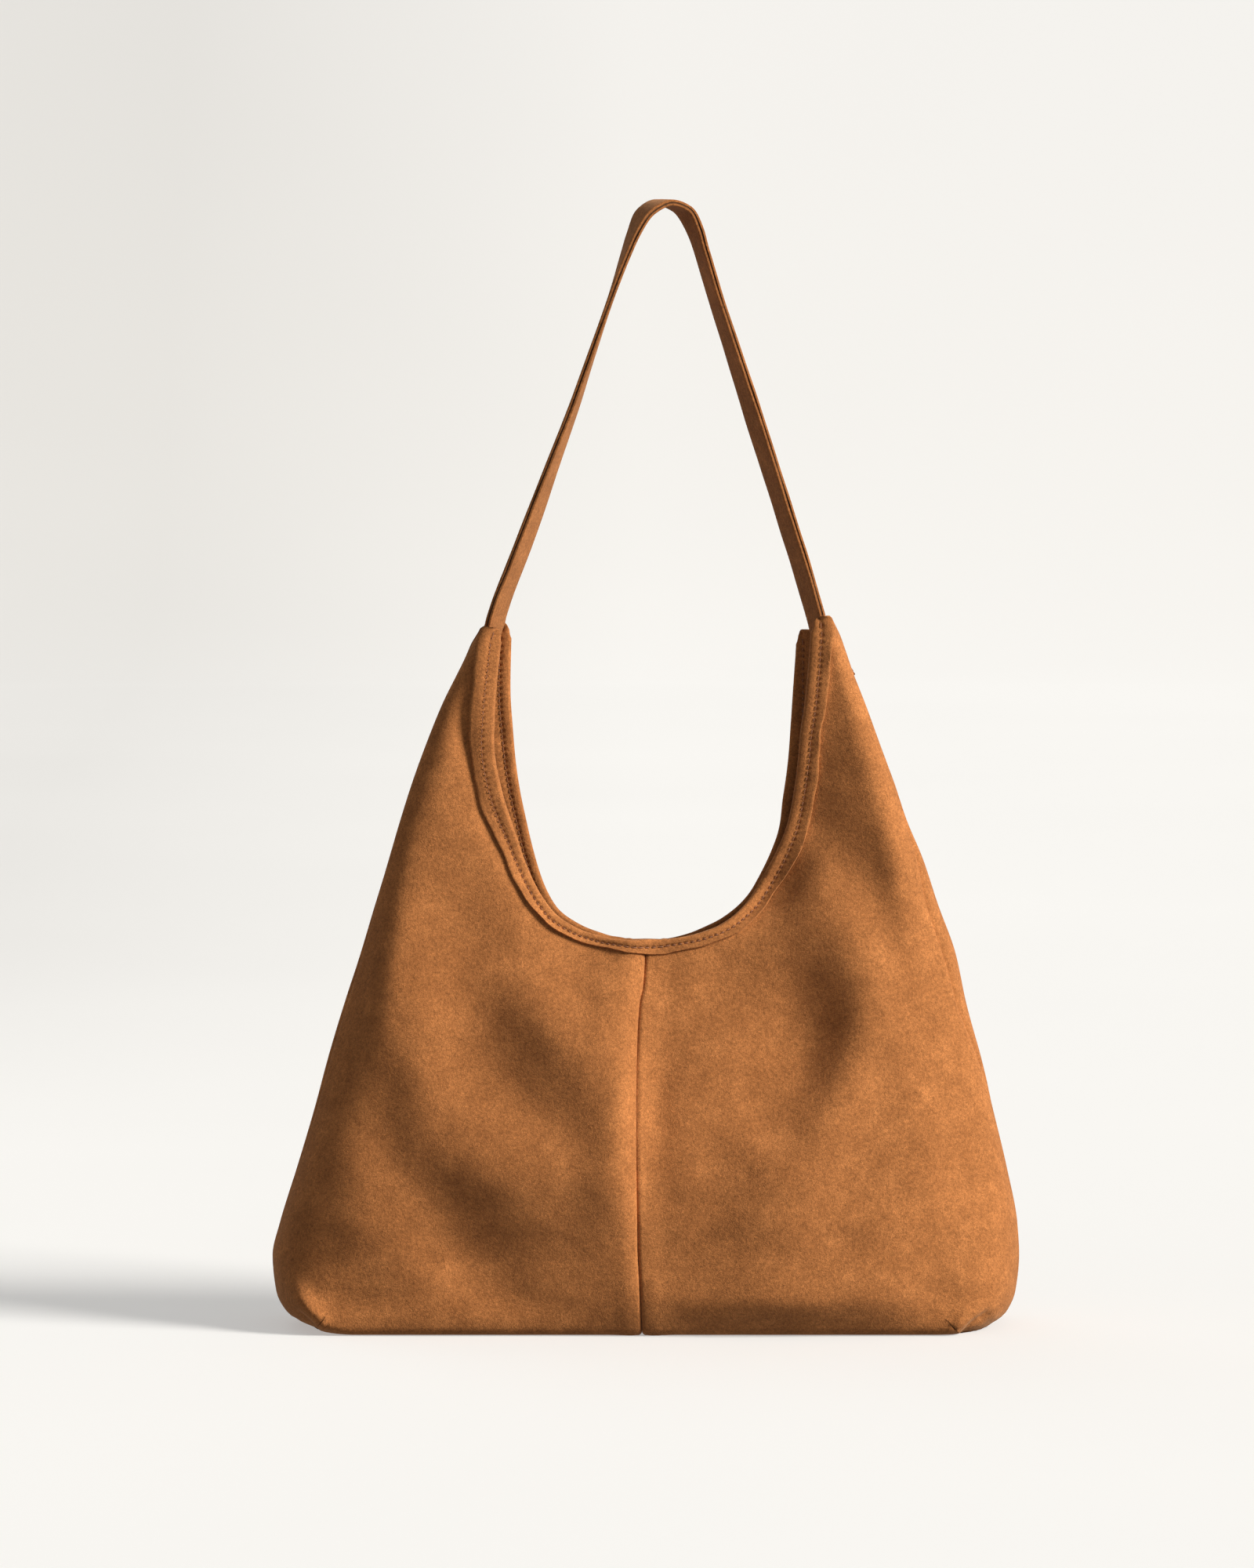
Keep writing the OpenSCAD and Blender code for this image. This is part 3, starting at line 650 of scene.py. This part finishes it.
def lining_grid(face, rows=60, columns=110):
    halves = []
    for side in (LEFT, RIGHT):
        ts = spread_ribs(side, columns)
        grid = np.zeros((columns, rows, 3))
        for i, path in enumerate(lining_paths(side, face, ts)):
            length = arc_length(path)[-1]
            end = max(length - LINING_END[face], 0.4 * length)
            grid[i] = along(path, np.linspace(0, end, rows))
        halves.append(grid if side == LEFT else grid[::-1][1:])
    return np.concatenate(halves)


def lining_paths(side, face, ts):
    """Rib paths whose distance inside the suede changes with height."""
    rx, rz, ex, ez = rib(side, ts)
    low = through(LINING_INSET[face], 0.0)
    inside = side * outline_x(side, np.maximum(ez, low)) - through(LINING_INSET[face], ez)
    ex = side * np.minimum(side * ex, inside)
    up = np.linspace(0, 1, 200) ** 2
    x = ex[:, None] + up[None, :] * (rx - ex)[:, None]
    z = ez[:, None] + up[None, :] * (rz - ez)[:, None]
    inset = through(LINING_INSET[face], z)
    rise = surface(x, np.maximum(z, low), side, face, inset, face == FRONT)
    foot_half = np.where(ts >= FOOT_RIB, np.abs(rise[:, 0, 1]), 0)
    under = np.linspace(0, 1, 30)[:-1][None, :] * foot_half[:, None]
    base = np.stack([rise[:, :1, 0] + 0 * under, face * under, rise[:, :1, 2] + 0 * under], -1)
    return np.concatenate([base, rise], 1)


def make_lining(name, face, material):
    """One cloth half of the lining. The back one has a cut for the zip under the zip's frame."""
    grid = lining_grid(face)
    inner = grid - outward(grid, face) * LINING_T
    keep = None
    if face == BACK:
        grid, inner = grid[::-1], inner[::-1]
        u, v, _ = to_wall(ZIP_WALL, (grid[:-1, :-1] + grid[1:, 1:]) / 2)
        keep = (np.abs(u) > ZIP_CUT[0]) | (np.abs(v) > ZIP_CUT[1])
    return shell(name, grid, inner, material, keep)


# ---- Fittings on the lining ----

class Wall:
    """Flat coordinates on a leaning wall of the lining: u to the right, v up, w into the bag."""

    def __init__(self, node, face, height):
        low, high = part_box(node)
        self.up = np.array([0, -face * math.sin(WALL_LEAN), math.cos(WALL_LEAN)])
        self.into = np.array([0, -face * math.cos(WALL_LEAN), -math.sin(WALL_LEAN)])
        self.origin = np.array((low + high) / 2) / MM - self.into * height

    def place(self, points):
        points = np.asarray(points, float)
        return (self.origin + points[..., :1] * np.array([1, 0, 0]) + points[..., 1:2] * self.up
                + points[..., 2:] * self.into)


def to_wall(wall, points):
    from_origin = points - wall.origin
    return from_origin[..., 0], from_origin @ wall.up, from_origin @ wall.into


def round_rectangle(width, height, radius, count=144):
    """Points evenly round a rectangle with round corners, starting at its right side."""
    a, b = width / 2 - radius, height / 2 - radius
    outline = []
    for k, (cx, cy) in enumerate(((a, b), (-a, b), (-a, -b), (a, -b))):
        outline += [(cx + radius * math.cos(t), cy + radius * math.sin(t), 0)
                    for t in np.linspace(k, k + 1, 9) * math.pi / 2]
    outline = np.array(outline + outline[:1])
    run = arc_length(outline)
    return along(outline, np.linspace(0, run[-1], count + 1)[:-1])


def plate_rings(width, height, radius, profile):
    """Rings of a plate from (inset, height) steps, each a round rectangle that much smaller."""
    rings = []
    for inset, level in profile:
        ring = round_rectangle(width - 2 * inset, height - 2 * inset, max(radius - 0.7 * inset, 0.6))
        rings.append(ring + np.array([0, 0, level]))
    return np.array(rings)


def closed_loop(name, rings, material):
    """A solid frame: rings that go round a hole and close on the first one."""
    rows, columns = rings.shape[:2]
    faces = grid_faces(rows + 1, columns, ring=True) % (rows * columns)
    return mesh_object(name, rings.reshape(-1, 3), faces, material)


def edge_stitches(name, wall, outline, level, material):
    """A row of stitches along a closed outline on a wall."""
    closed = np.concatenate([outline, outline[:1]])
    total = arc_length(closed)[-1]
    count = int(total / TRIM_PITCH)
    pitch = total / count
    threads = []
    for k in range(count):
        ends = along(closed, np.array([pitch * (k + 0.16), pitch * (k + 0.84)]))
        ends[:, 2] = level
        start, end = wall.place(ends)
        threads.append(thread_rings(start, end, wall.into, 0.26, 0.2))
    return joined_threads(name, threads, material)


def make_snap_patch(name, wall, material, thread):
    """A small suede patch with eased edges and a stitch row pressed into it."""
    profile = [
        (13.6, 0.0), (0.3, 0.0), (0, 0.35), (0, 0.9), (0.5, 1.28), (1.6, 1.3), (2.3, 1.02),
        (3.0, 1.3), (5, 1.36), (9, 1.36), (13.6, 1.36)]
    raised = [(inset, 0.7 + level) for inset, level in profile]
    rings = plate_rings(SNAP_PATCH_W, SNAP_PATCH_W, 6, raised)
    patch = tube(name, wall.place(rings), material)
    threads = edge_stitches(name + "_stitches", wall, round_rectangle(23.4, 23.4, 4.4), 1.88, thread)
    return patch, threads


def make_zip_frame(name, wall, material, thread):
    """The suede frame round the zip, with its two stitch rows."""
    profile = [
        (0, 0.1), (0, 0.6), (0.5, 0.9), (1.5, 0.92), (2.0, 0.68), (2.5, 0.92), (6.4, 0.95),
        (7.0, 0.7), (7.6, 0.92), (8.6, 0.85), (8.95, 0.5), (8.9, 0.08)]
    width, height = ZIP_FRAME_SIZE
    rings = plate_rings(width, height, 5, profile)
    frame_made = closed_loop(name, wall.place(rings)[::-1], material)
    rows = []
    for k, inset in ((1, 2.0), (2, 7.0)):
        outline = round_rectangle(width - 2 * inset, height - 2 * inset, 3.5)
        rows.append(edge_stitches(f"{name}_stitches_{k}", wall, outline, 0.78, thread))
    return frame_made, rows


def make_zip_tape(name, wall, side, material):
    """A woven tape with a thicker corded edge beside the teeth."""
    u = np.linspace(-78, 78, 120)
    v = np.array([2.7, 2.9, 3.4, 3.9, 4.3, 5.5, 8, 11, 14.4])
    cord = np.array([0.0, 0.25, 0.32, 0.22, 0.04, 0, 0, 0, 0])
    outer = np.stack(np.broadcast_arrays(u[:, None], side * v[None, :], -1.36 + 0 * v[None, :]), -1)
    inner = outer + np.stack([0 * cord, 0 * cord, 0.5 + cord], -1)[None]
    if side < 0:
        outer, inner = outer[:, ::-1], inner[:, ::-1]
    return shell(name, wall.place(outer), wall.place(inner), material)


def make_pocket(name, wall, material):
    """The two cloth sides of the zip's pocket, sewn together round their edge."""
    u, v = np.meshgrid(np.linspace(-81, 81, 110), np.linspace(-110, 10.6, 84), indexing="ij")
    across, up = u / 81, (v + 49.7) / 60.3
    body = (1 - across ** 6) * (1 - up ** 6)
    wrinkle = 0.35 * np.sin(u / 9 + v / 21) * np.sin(v / 13 - u / 31)
    made = []
    for k, side in (("inner", 1), ("outer", -1)):
        w = -4.0 + side * (0.25 + (1.75 + wrinkle) * body)
        skin = np.stack([u, v, w], -1)
        lower = skin - np.array([0, 0, 0.4])
        inside_cut = (np.abs(u[:-1, :-1] + 0.7) < 74) & (np.abs(v[:-1, :-1] + 0.7) < 4.7)
        keep = ~inside_cut if side > 0 else None
        made.append(shell(f"{name}_{k}", wall.place(skin)[::-1], wall.place(lower)[::-1], material, keep))
    return made


# ---- Strap ----

def strap_line(count=420):
    """The strap's centreline, its width direction and its face direction."""
    points = np.array(STRAP_PATH, float)
    number = np.arange(len(points))
    at = np.linspace(0, len(points) - 1, count)
    x, y, z, turn = (through(np.stack([number, points[:, k]], -1), at) for k in range(4))
    for _ in range(3):
        x[1:-1], y[1:-1], z[1:-1] = ((v[:-2] + 2 * v[1:-1] + v[2:]) / 4 for v in (x, y, z))
    line = np.stack([x, y, z * Z_SCALE], -1)
    run = arc_length(line)
    even = np.linspace(0, run[-1], count)
    line = along(line, even)
    turn = np.radians(np.interp(even, run, turn))
    forward = unit(np.gradient(line, axis=0))
    wide = np.stack([np.sin(turn), -np.cos(turn), 0 * turn], -1)
    wide = unit(wide - forward * np.sum(wide * forward, -1, keepdims=True))
    return line, wide, np.cross(forward, wide), even


def root_width(run):
    """The share of the strap's width that is left along its sewn-in left root."""
    return 0.42 + 0.58 * smoothstep(6, 24, run)


def layer_profile(low, high, width, soft):
    """Section of one strap layer: across and through, with its outer edges eased."""
    w = width / 2
    top = [(w - soft * (1 - math.cos(a)), high - soft * (1 - math.sin(a)))
           for a in np.linspace(0, math.pi / 2, 4)]
    crown = [(f * (w - soft), high + 0.12 * (1 - f * f)) for f in (0.6, 0.2, -0.2, -0.6)]
    left = [(-a, b) for a, b in top[::-1]]
    return top + crown + left + [(-w, low), (-w * 0.5, low), (w * 0.5, low), (w, low)]


def make_strap_layer(name, sign, material, phase):
    """One suede face of the strap, on the outer (1) or the inner (-1) side of its filler."""
    line, wide, face, run = strap_line()
    low = STRAP_CORE_T / 2
    edge = 0.22 * np.sin(run / 13 + phase) + 0.13 * np.sin(run / 5.1 + 2 * phase)
    rings = []
    for across, through_it in layer_profile(low, low + STRAP_FACE_T, STRAP_W, 0.45):
        at_edge = abs(across) > 0.8 * STRAP_W / 2
        a = (across + np.sign(across) * edge * at_edge) * root_width(run)
        rings.append(line + wide * a[:, None] + face * (sign * through_it))
    rings = np.stack(rings, 1)
    return tube(name, rings if sign < 0 else rings[:, ::-1], material, 50)


def make_strap(suede, filler):
    half = STRAP_CORE_T / 2
    parts = [
        make_strap_layer("strap_outer_suede", 1, suede, 0.4),
        make_strap_layer("strap_inner_suede", -1, suede, 1.9)]
    line, wide, face, run = strap_line()
    w = ((STRAP_W / 2 - 0.5) * root_width(run))[:, None]
    corners = ((1, half), (-1, half), (-1, -half), (1, -half))
    core = np.stack([line + wide * a * w + face * b for a, b in corners], 1)
    parts.append(tube("strap_filler_core", core, filler, 30))
    return parts


# ---- Materials ----

class Nodes:
    """A material's node tree, with short ways to add to it."""

    def __init__(self, name):
        self.material = bpy.data.materials.new(name)
        self.material.use_nodes = True
        self.tree = self.material.node_tree
        self.shader = self.tree.nodes["Principled BSDF"]
        coords = self.tree.nodes.new("ShaderNodeTexCoord")
        self.place = coords.outputs["Object"]

    def link(self, output, socket):
        self.tree.links.new(output, socket)

    def noise(self, size_mm, detail=3.0, rough=0.55, stretch=None):
        """Noise whose features are about this many millimetres across."""
        node = self.tree.nodes.new("ShaderNodeTexNoise")
        node.inputs["Scale"].default_value = 1 / (size_mm * MM)
        node.inputs["Detail"].default_value = detail
        node.inputs["Roughness"].default_value = rough
        self.link(self.placed(stretch) if stretch else self.place, node.inputs["Vector"])
        return node.outputs["Fac"]

    def placed(self, stretch):
        node = self.tree.nodes.new("ShaderNodeMapping")
        node.inputs["Scale"].default_value = stretch
        self.link(self.place, node.inputs["Vector"])
        return node.outputs["Vector"]

    def bands(self, size_mm, direction):
        node = self.tree.nodes.new("ShaderNodeTexWave")
        node.wave_type = "BANDS"
        node.bands_direction = direction
        node.inputs["Scale"].default_value = 1 / (size_mm * MM) / 3.2
        node.inputs["Distortion"].default_value = 0.6
        self.link(self.place, node.inputs["Vector"])
        return node.outputs["Fac"]

    def math(self, kind, a, b=None):
        node = self.tree.nodes.new("ShaderNodeMath")
        node.operation = kind
        for socket, value in zip(node.inputs, (a, b)):
            if isinstance(value, (int, float)):
                socket.default_value = value
            elif value is not None:
                self.link(value, socket)
        return node.outputs["Value"]

    def ramp(self, value, stops):
        """A colour ramp from (place, colour) stops."""
        node = self.tree.nodes.new("ShaderNodeValToRGB")
        points = node.color_ramp.elements
        while len(points) < len(stops):
            points.new(0.5)
        for point, (place, colour) in zip(points, stops):
            point.position = place
            point.color = (*colour, 1)
        self.link(value, node.inputs["Fac"])
        return node.outputs["Color"]

    def mixed(self, factor, a, b, kind="MIX"):
        node = self.tree.nodes.new("ShaderNodeMix")
        node.data_type = "RGBA"
        node.blend_type = kind
        sockets = (node.inputs[0], node.inputs[6], node.inputs[7])
        for socket, value in zip(sockets, (factor, a, b)):
            if isinstance(value, (int, float)):
                socket.default_value = value
            elif isinstance(value, tuple):
                socket.default_value = (*value, 1)
            else:
                self.link(value, socket)
        return node.outputs[2]

    def bump(self, height, distance_mm, strength=1.0, below=None):
        node = self.tree.nodes.new("ShaderNodeBump")
        node.inputs["Distance"].default_value = distance_mm * MM
        node.inputs["Strength"].default_value = strength
        self.link(height, node.inputs["Height"])
        if below is not None:
            self.link(below, node.inputs["Normal"])
        return node.outputs["Normal"]

    def coloured(self, output):
        self.link(output, self.shader.inputs["Base Color"])

    def raised(self, output):
        self.link(output, self.shader.inputs["Normal"])

    def set(self, **values):
        for name, value in values.items():
            self.shader.inputs[name.replace("_", " ")].default_value = value


def shade(colour, by):
    return tuple(c * by for c in colour)


def suede_material(name, colour, nap=1.0):
    """Brushed suede: a fine nap, speckles, patches where the nap lies another way, a soft sheen."""
    n = Nodes(name)
    fibre = n.noise(0.55, 2, 0.6)
    clump = n.noise(1.7, 3, 0.6)
    patch = n.noise(9, 4, 0.6)
    broad = n.noise(38, 3, 0.55)
    speck = n.math("ADD", n.math("MULTIPLY", fibre, 0.55), n.math("MULTIPLY", clump, 0.45))
    fine = n.ramp(speck, [(0.32, shade(colour, 0.55)), (0.5, colour), (0.68, shade(colour, 1.5))])
    mark = n.noise(19, 5, 0.68)
    tone = fine
    for value, stops in ((patch, [(0.3, (0.86, 0.85, 0.84)), (0.7, (1.10, 1.11, 1.12))]),
                         (broad, [(0.3, (0.89, 0.88, 0.87)), (0.7, (1.08, 1.09, 1.10))]),
                         (mark, [(0.53, (1.0, 1.0, 1.0)), (0.62, (1.11, 1.12, 1.13))])):
        tone = n.mixed(1.0, tone, n.ramp(value, stops), "MULTIPLY")
    n.coloured(tone)
    n.set(Roughness=0.92, Sheen_Weight=0.16, Sheen_Roughness=0.45, Specular_IOR_Level=0.1)
    n.set(Sheen_Tint=(1.0, 0.72, 0.46, 1))
    low = n.bump(patch, 0.6, 0.35 * nap)
    mid = n.bump(clump, 0.5, 0.6 * nap, low)
    n.raised(n.bump(fibre, 0.3, 0.8 * nap, mid))
    return n.material


def woven_material(name, colour, thread_mm, rough=0.85):
    """Plain-woven cloth."""
    n = Nodes(name)
    warp = n.bands(thread_mm, "X")
    weft = n.bands(thread_mm, "Z")
    weave = n.math("MAXIMUM", warp, weft)
    patch = n.noise(24, 3)
    tone = n.ramp(weave, [(0.1, shade(colour, 0.62)), (0.75, colour), (1.0, shade(colour, 1.12))])
    slub = n.ramp(patch, [(0.3, (0.86, 0.86, 0.86)), (0.7, (1, 1, 1))])
    n.coloured(n.mixed(1.0, tone, slub, "MULTIPLY"))
    n.set(Roughness=rough, Sheen_Weight=0.15, Specular_IOR_Level=0.2)
    n.raised(n.bump(weave, 0.15, 0.6))
    return n.material


def thread_material(name, colour):
    n = Nodes(name)
    twist = n.bands(0.5, "DIAGONAL")
    tone = n.ramp(twist, [(0.2, shade(colour, 0.7)), (0.8, shade(colour, 1.1))])
    n.coloured(tone)
    n.set(Roughness=0.6, Sheen_Weight=0.2)
    n.raised(n.bump(twist, 0.08, 0.5))
    return n.material


def metal_material(name, colour, rough):
    """Cast and polished metal with fine scratches and a patchy, slightly dulled tone."""
    n = Nodes(name)
    scratch = n.noise(0.8, 3, 0.7, stretch=(1, 6, 1))
    patina = n.noise(5, 3)
    tone = n.ramp(patina, [(0.3, shade(colour, 0.72)), (0.6, colour)])
    n.coloured(tone)
    n.link(n.math("ADD", n.math("MULTIPLY", scratch, 0.22), rough), n.shader.inputs["Roughness"])
    n.set(Metallic=1.0)
    n.raised(n.bump(scratch, 0.02, 0.3))
    return n.material


def board_material():
    n = Nodes("board")
    fibre = n.noise(1.2, 4, 0.6, stretch=(0.4, 1, 1))
    tone = n.ramp(fibre, [(0.3, (0.16, 0.11, 0.07)), (0.7, (0.26, 0.19, 0.12))])
    n.coloured(tone)
    n.set(Roughness=0.9)
    n.raised(n.bump(fibre, 0.1, 0.4))
    return n.material


SUEDE_COLOUR = (0.44, 0.165, 0.0505)
SUEDE = suede_material("suede", SUEDE_COLOUR)
BINDING_SUEDE = suede_material("binding_suede", shade(SUEDE_COLOUR, 0.95), 0.8)
STRAP_SUEDE = suede_material("strap_suede", shade(SUEDE_COLOUR, 0.82), 0.7)
TRIM_SUEDE = suede_material("trim_suede", shade(SUEDE_COLOUR, 0.85), 0.8)
FILLER = suede_material("strap_filler", (0.10, 0.045, 0.02), 0.5)
LINING = woven_material("lining_cloth", (0.42, 0.30, 0.19), 0.6)
TAPE = woven_material("zip_tape", (0.20, 0.105, 0.05), 0.45)
THREAD = thread_material("thread", (0.30, 0.105, 0.032))
BRASS = metal_material("brass", (0.80, 0.56, 0.25), 0.22)
STEEL = metal_material("steel", (0.55, 0.55, 0.56), 0.28)
BOARD = board_material()


# ---- Stage ----

STAGE_ALBEDO = 0.55
STAGE_GLOW = 0.79        # brightness of the unshadowed floor and backdrop
KEY = {"azimuth": 68, "elevation": 28, "spread": 22, "strength": 5.0}
FRAME_PER_HEIGHT = 1.3905                # picture height for each metre of the bag's box
AIM_SHIFT = (-0.0106, -0.0111)           # metres, from the box's middle, right and up


def direction(azimuth, elevation):
    """Towards a light. Azimuth 0 is on the camera's side and 90 on the right."""
    a, e = math.radians(azimuth), math.radians(elevation)
    return Vector((math.sin(a) * math.cos(e), -math.cos(a) * math.cos(e), math.sin(e)))


def stage_profile():
    """The floor and the wall round it, from the middle outwards: distance and height."""
    far, radius, height = 6600, 1200, 5200
    bend = [(far - radius + radius * math.sin(a), radius * (1 - math.cos(a)))
            for a in np.linspace(0, math.pi / 2, 24)[1:]]
    return [(1, 0), (far - radius, 0)] + bend + [(far, height)]


def stage_material():
    """White paper that glows just enough to be evenly bright wherever the key light falls on it, less a
    painted shade to the left and back.
    """
    n = Nodes("stage")
    grain = n.noise(900, 2)
    darker, lighter = (shade((1, 0.995, 0.98), STAGE_ALBEDO * by) for by in (0.985, 1.015))
    n.coloured(n.ramp(grain, [(0.3, darker), (0.7, lighter)]))
    n.set(Roughness=0.95, Specular_IOR_Level=0.05, Emission_Color=(1.0, 0.99, 0.965, 1))
    facing = n.tree.nodes.new("ShaderNodeVectorMath")
    facing.operation = "DOT_PRODUCT"
    n.link(n.tree.nodes.new("ShaderNodeNewGeometry").outputs["Normal"], facing.inputs[0])
    facing.inputs[1].default_value = direction(KEY["azimuth"], KEY["elevation"])
    towards_key = n.math("MAXIMUM", facing.outputs["Value"], 0.0)
    lit = n.math("MULTIPLY", towards_key, STAGE_ALBEDO * KEY["strength"] / math.pi)
    # Painted shade: the glow is dimmed towards the left and the back, as if less light reached there.
    split = n.tree.nodes.new("ShaderNodeSeparateXYZ")
    n.link(n.place, split.inputs["Vector"])
    leftward = n.math("MINIMUM", n.math("MAXIMUM", n.math("MULTIPLY", split.outputs["X"], -1.7), 0.0), 1.0)
    backward = n.math("SUBTRACT", split.outputs["Y"], 0.8)
    backward = n.math("MINIMUM", n.math("MAXIMUM", n.math("MULTIPLY", backward, 0.7), 0.0), 1.0)
    painted_shade = n.math("MULTIPLY", n.math("MULTIPLY", leftward, backward), 0.12)
    glow = n.math("SUBTRACT", n.math("SUBTRACT", STAGE_GLOW, painted_shade), lit)
    n.link(n.math("MAXIMUM", glow, 0.0), n.shader.inputs["Emission Strength"])
    return n.material


def make_stage():
    """A pale round floor that curves up into a wall. It doesn't light or shade the bag."""
    turns = np.arange(96) * 2 * math.pi / 96
    grid = np.array([[(r * math.cos(t), r * math.sin(t), z - 0.05) for t in turns]
                     for r, z in stage_profile()])
    faces = grid_faces(*grid.shape[:2], ring=True)
    floor = mesh_object("stage_floor", grid.reshape(-1, 3), faces, stage_material(), 80)
    floor.visible_diffuse = False
    floor.visible_shadow = False


def aim(made, target):
    made.rotation_mode = "QUATERNION"
    made.rotation_quaternion = (Vector(target) - made.location).to_track_quat("-Z", "Y")


def sun(name, azimuth, elevation, spread, strength, colour):
    """A large far light."""
    light = bpy.data.lights.new(name, "SUN")
    light.angle = math.radians(spread)
    light.energy = strength
    light.color = colour
    made = bpy.data.objects.new(name, light)
    bpy.context.scene.collection.objects.link(made)
    made.location = direction(azimuth, elevation) * 3
    aim(made, (0, 0, 0))


def make_lights():
    world = bpy.data.worlds.new("studio")
    bpy.context.scene.world = world
    world.use_nodes = True
    background = world.node_tree.nodes["Background"]
    background.inputs["Color"].default_value = (1.0, 0.985, 0.96, 1)
    background.inputs["Strength"].default_value = 0.22
    sun("key", colour=(1.0, 0.97, 0.92), **KEY)
    sun("back_fill", 215, 45, 40, 0.25, (0.95, 0.97, 1.0))


def make_camera(low, high):
    """A long lens, a little above the bag, framed round its box."""
    elevation, lens, sensor = math.radians(4.5), 200, 36
    frame_height = (high.z - low.z) * FRAME_PER_HEIGHT
    right, up = AIM_SHIFT
    target = Vector(((low.x + high.x) / 2 + right, 0, (low.z + high.z) / 2 + up))
    distance = frame_height * lens / sensor
    camera = bpy.data.cameras.new("camera")
    camera.lens, camera.sensor_width = lens, sensor
    camera.clip_end = 50
    made = bpy.data.objects.new("camera", camera)
    bpy.context.scene.collection.objects.link(made)
    made.location = target + Vector((0, -math.cos(elevation), math.sin(elevation))) * distance
    aim(made, target)
    bpy.context.scene.camera = made
    bpy.context.scene.view_settings.view_transform = "Standard"


# ---- Assembly ----

def dress(piece, body, slot, *replaced):
    """Says what a piece rides on and the CAD nodes that it stands for; its material slot is not used."""
    if replaced:
        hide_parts(*replaced)
    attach(piece, body)


def repaint(material, *names):
    for name in names:
        mesh = nodes[name].data
        mesh.materials.clear()
        mesh.materials.append(material)


# Where the fittings' own middles are above the lining, in the CAD.
ZIP_WALL = Wall("zip_frame", BACK, 0.5)
SNAP_WALLS = {FRONT: Wall("snap_patch_front", FRONT, 1.35), BACK: Wall("snap_patch_back", BACK, 1.35)}

low, high = cad_box
make_camera(low, high)
make_lights()
make_stage()

for side, side_name in ((LEFT, "left"), (RIGHT, "right")):
    for face, face_name in ((FRONT, "front"), (BACK, "back")):
        node = f"{face_name}_panel_{side_name}"
        panel = make_panel(f"{face_name}_{side_name}_suede_panel", side, face, SUEDE)
        dress(panel, "root", "suede", node)

for face, face_name in ((FRONT, "front"), (BACK, "back")):
    band, threads = make_binding(f"{face_name}_binding_suede", face, BINDING_SUEDE, THREAD)
    dress(band, "root", "binding_suede", f"{face_name}_rim_binding")
    dress(threads, "root", "binding_suede")

for face, face_name in ((FRONT, "front"), (BACK, "back")):
    lining = make_lining(f"{face_name}_lining_cloth", face, LINING)
    dress(lining, "root", "lining_cloth", f"lining_{face_name}")
    patch_name = f"{face_name}_snap_patch_suede"
    patch, patch_threads = make_snap_patch(patch_name, SNAP_WALLS[face], TRIM_SUEDE, THREAD)
    dress(patch, "root", "trim_suede", f"snap_patch_{face_name}")
    dress(patch_threads, "root", "trim_suede")

zip_frame, frame_threads = make_zip_frame("zip_frame_suede", ZIP_WALL, TRIM_SUEDE, THREAD)
dress(zip_frame, "root", "trim_suede", "zip_frame")
for threads in frame_threads:
    dress(threads, "root", "trim_suede")
for side, side_name in ((1, "upper"), (-1, "lower")):
    tape = make_zip_tape(f"zip_tape_cloth_{side_name}", ZIP_WALL, side, TAPE)
    dress(tape, "root", "zip_tape", f"zip_tape_{side_name}")
for cloth in make_pocket("pocket_cloth", ZIP_WALL, LINING):
    dress(cloth, "root", "lining_cloth", "pocket_bag")

outer, inner, core = make_strap(STRAP_SUEDE, FILLER)
for piece, slot, replaced in (
        (outer, "strap_suede", ["strap_outer_layer", "strap_root_left", "strap_root_right"]),
        (inner, "strap_suede", ["strap_inner_layer"]),
        (core, "strap_filler", ["strap_core"])):
    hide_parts(*replaced)
    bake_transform(piece)

repaint(BRASS, "snap_socket", "snap_stud")
repaint(BRASS, "zip_teeth_upper", "zip_teeth_lower", "zip_stops", "zip_slider", "zip_pull")
repaint(STEEL, "snap_magnet", "snap_washer_front", "snap_washer_back")
repaint(BOARD, "base_board")
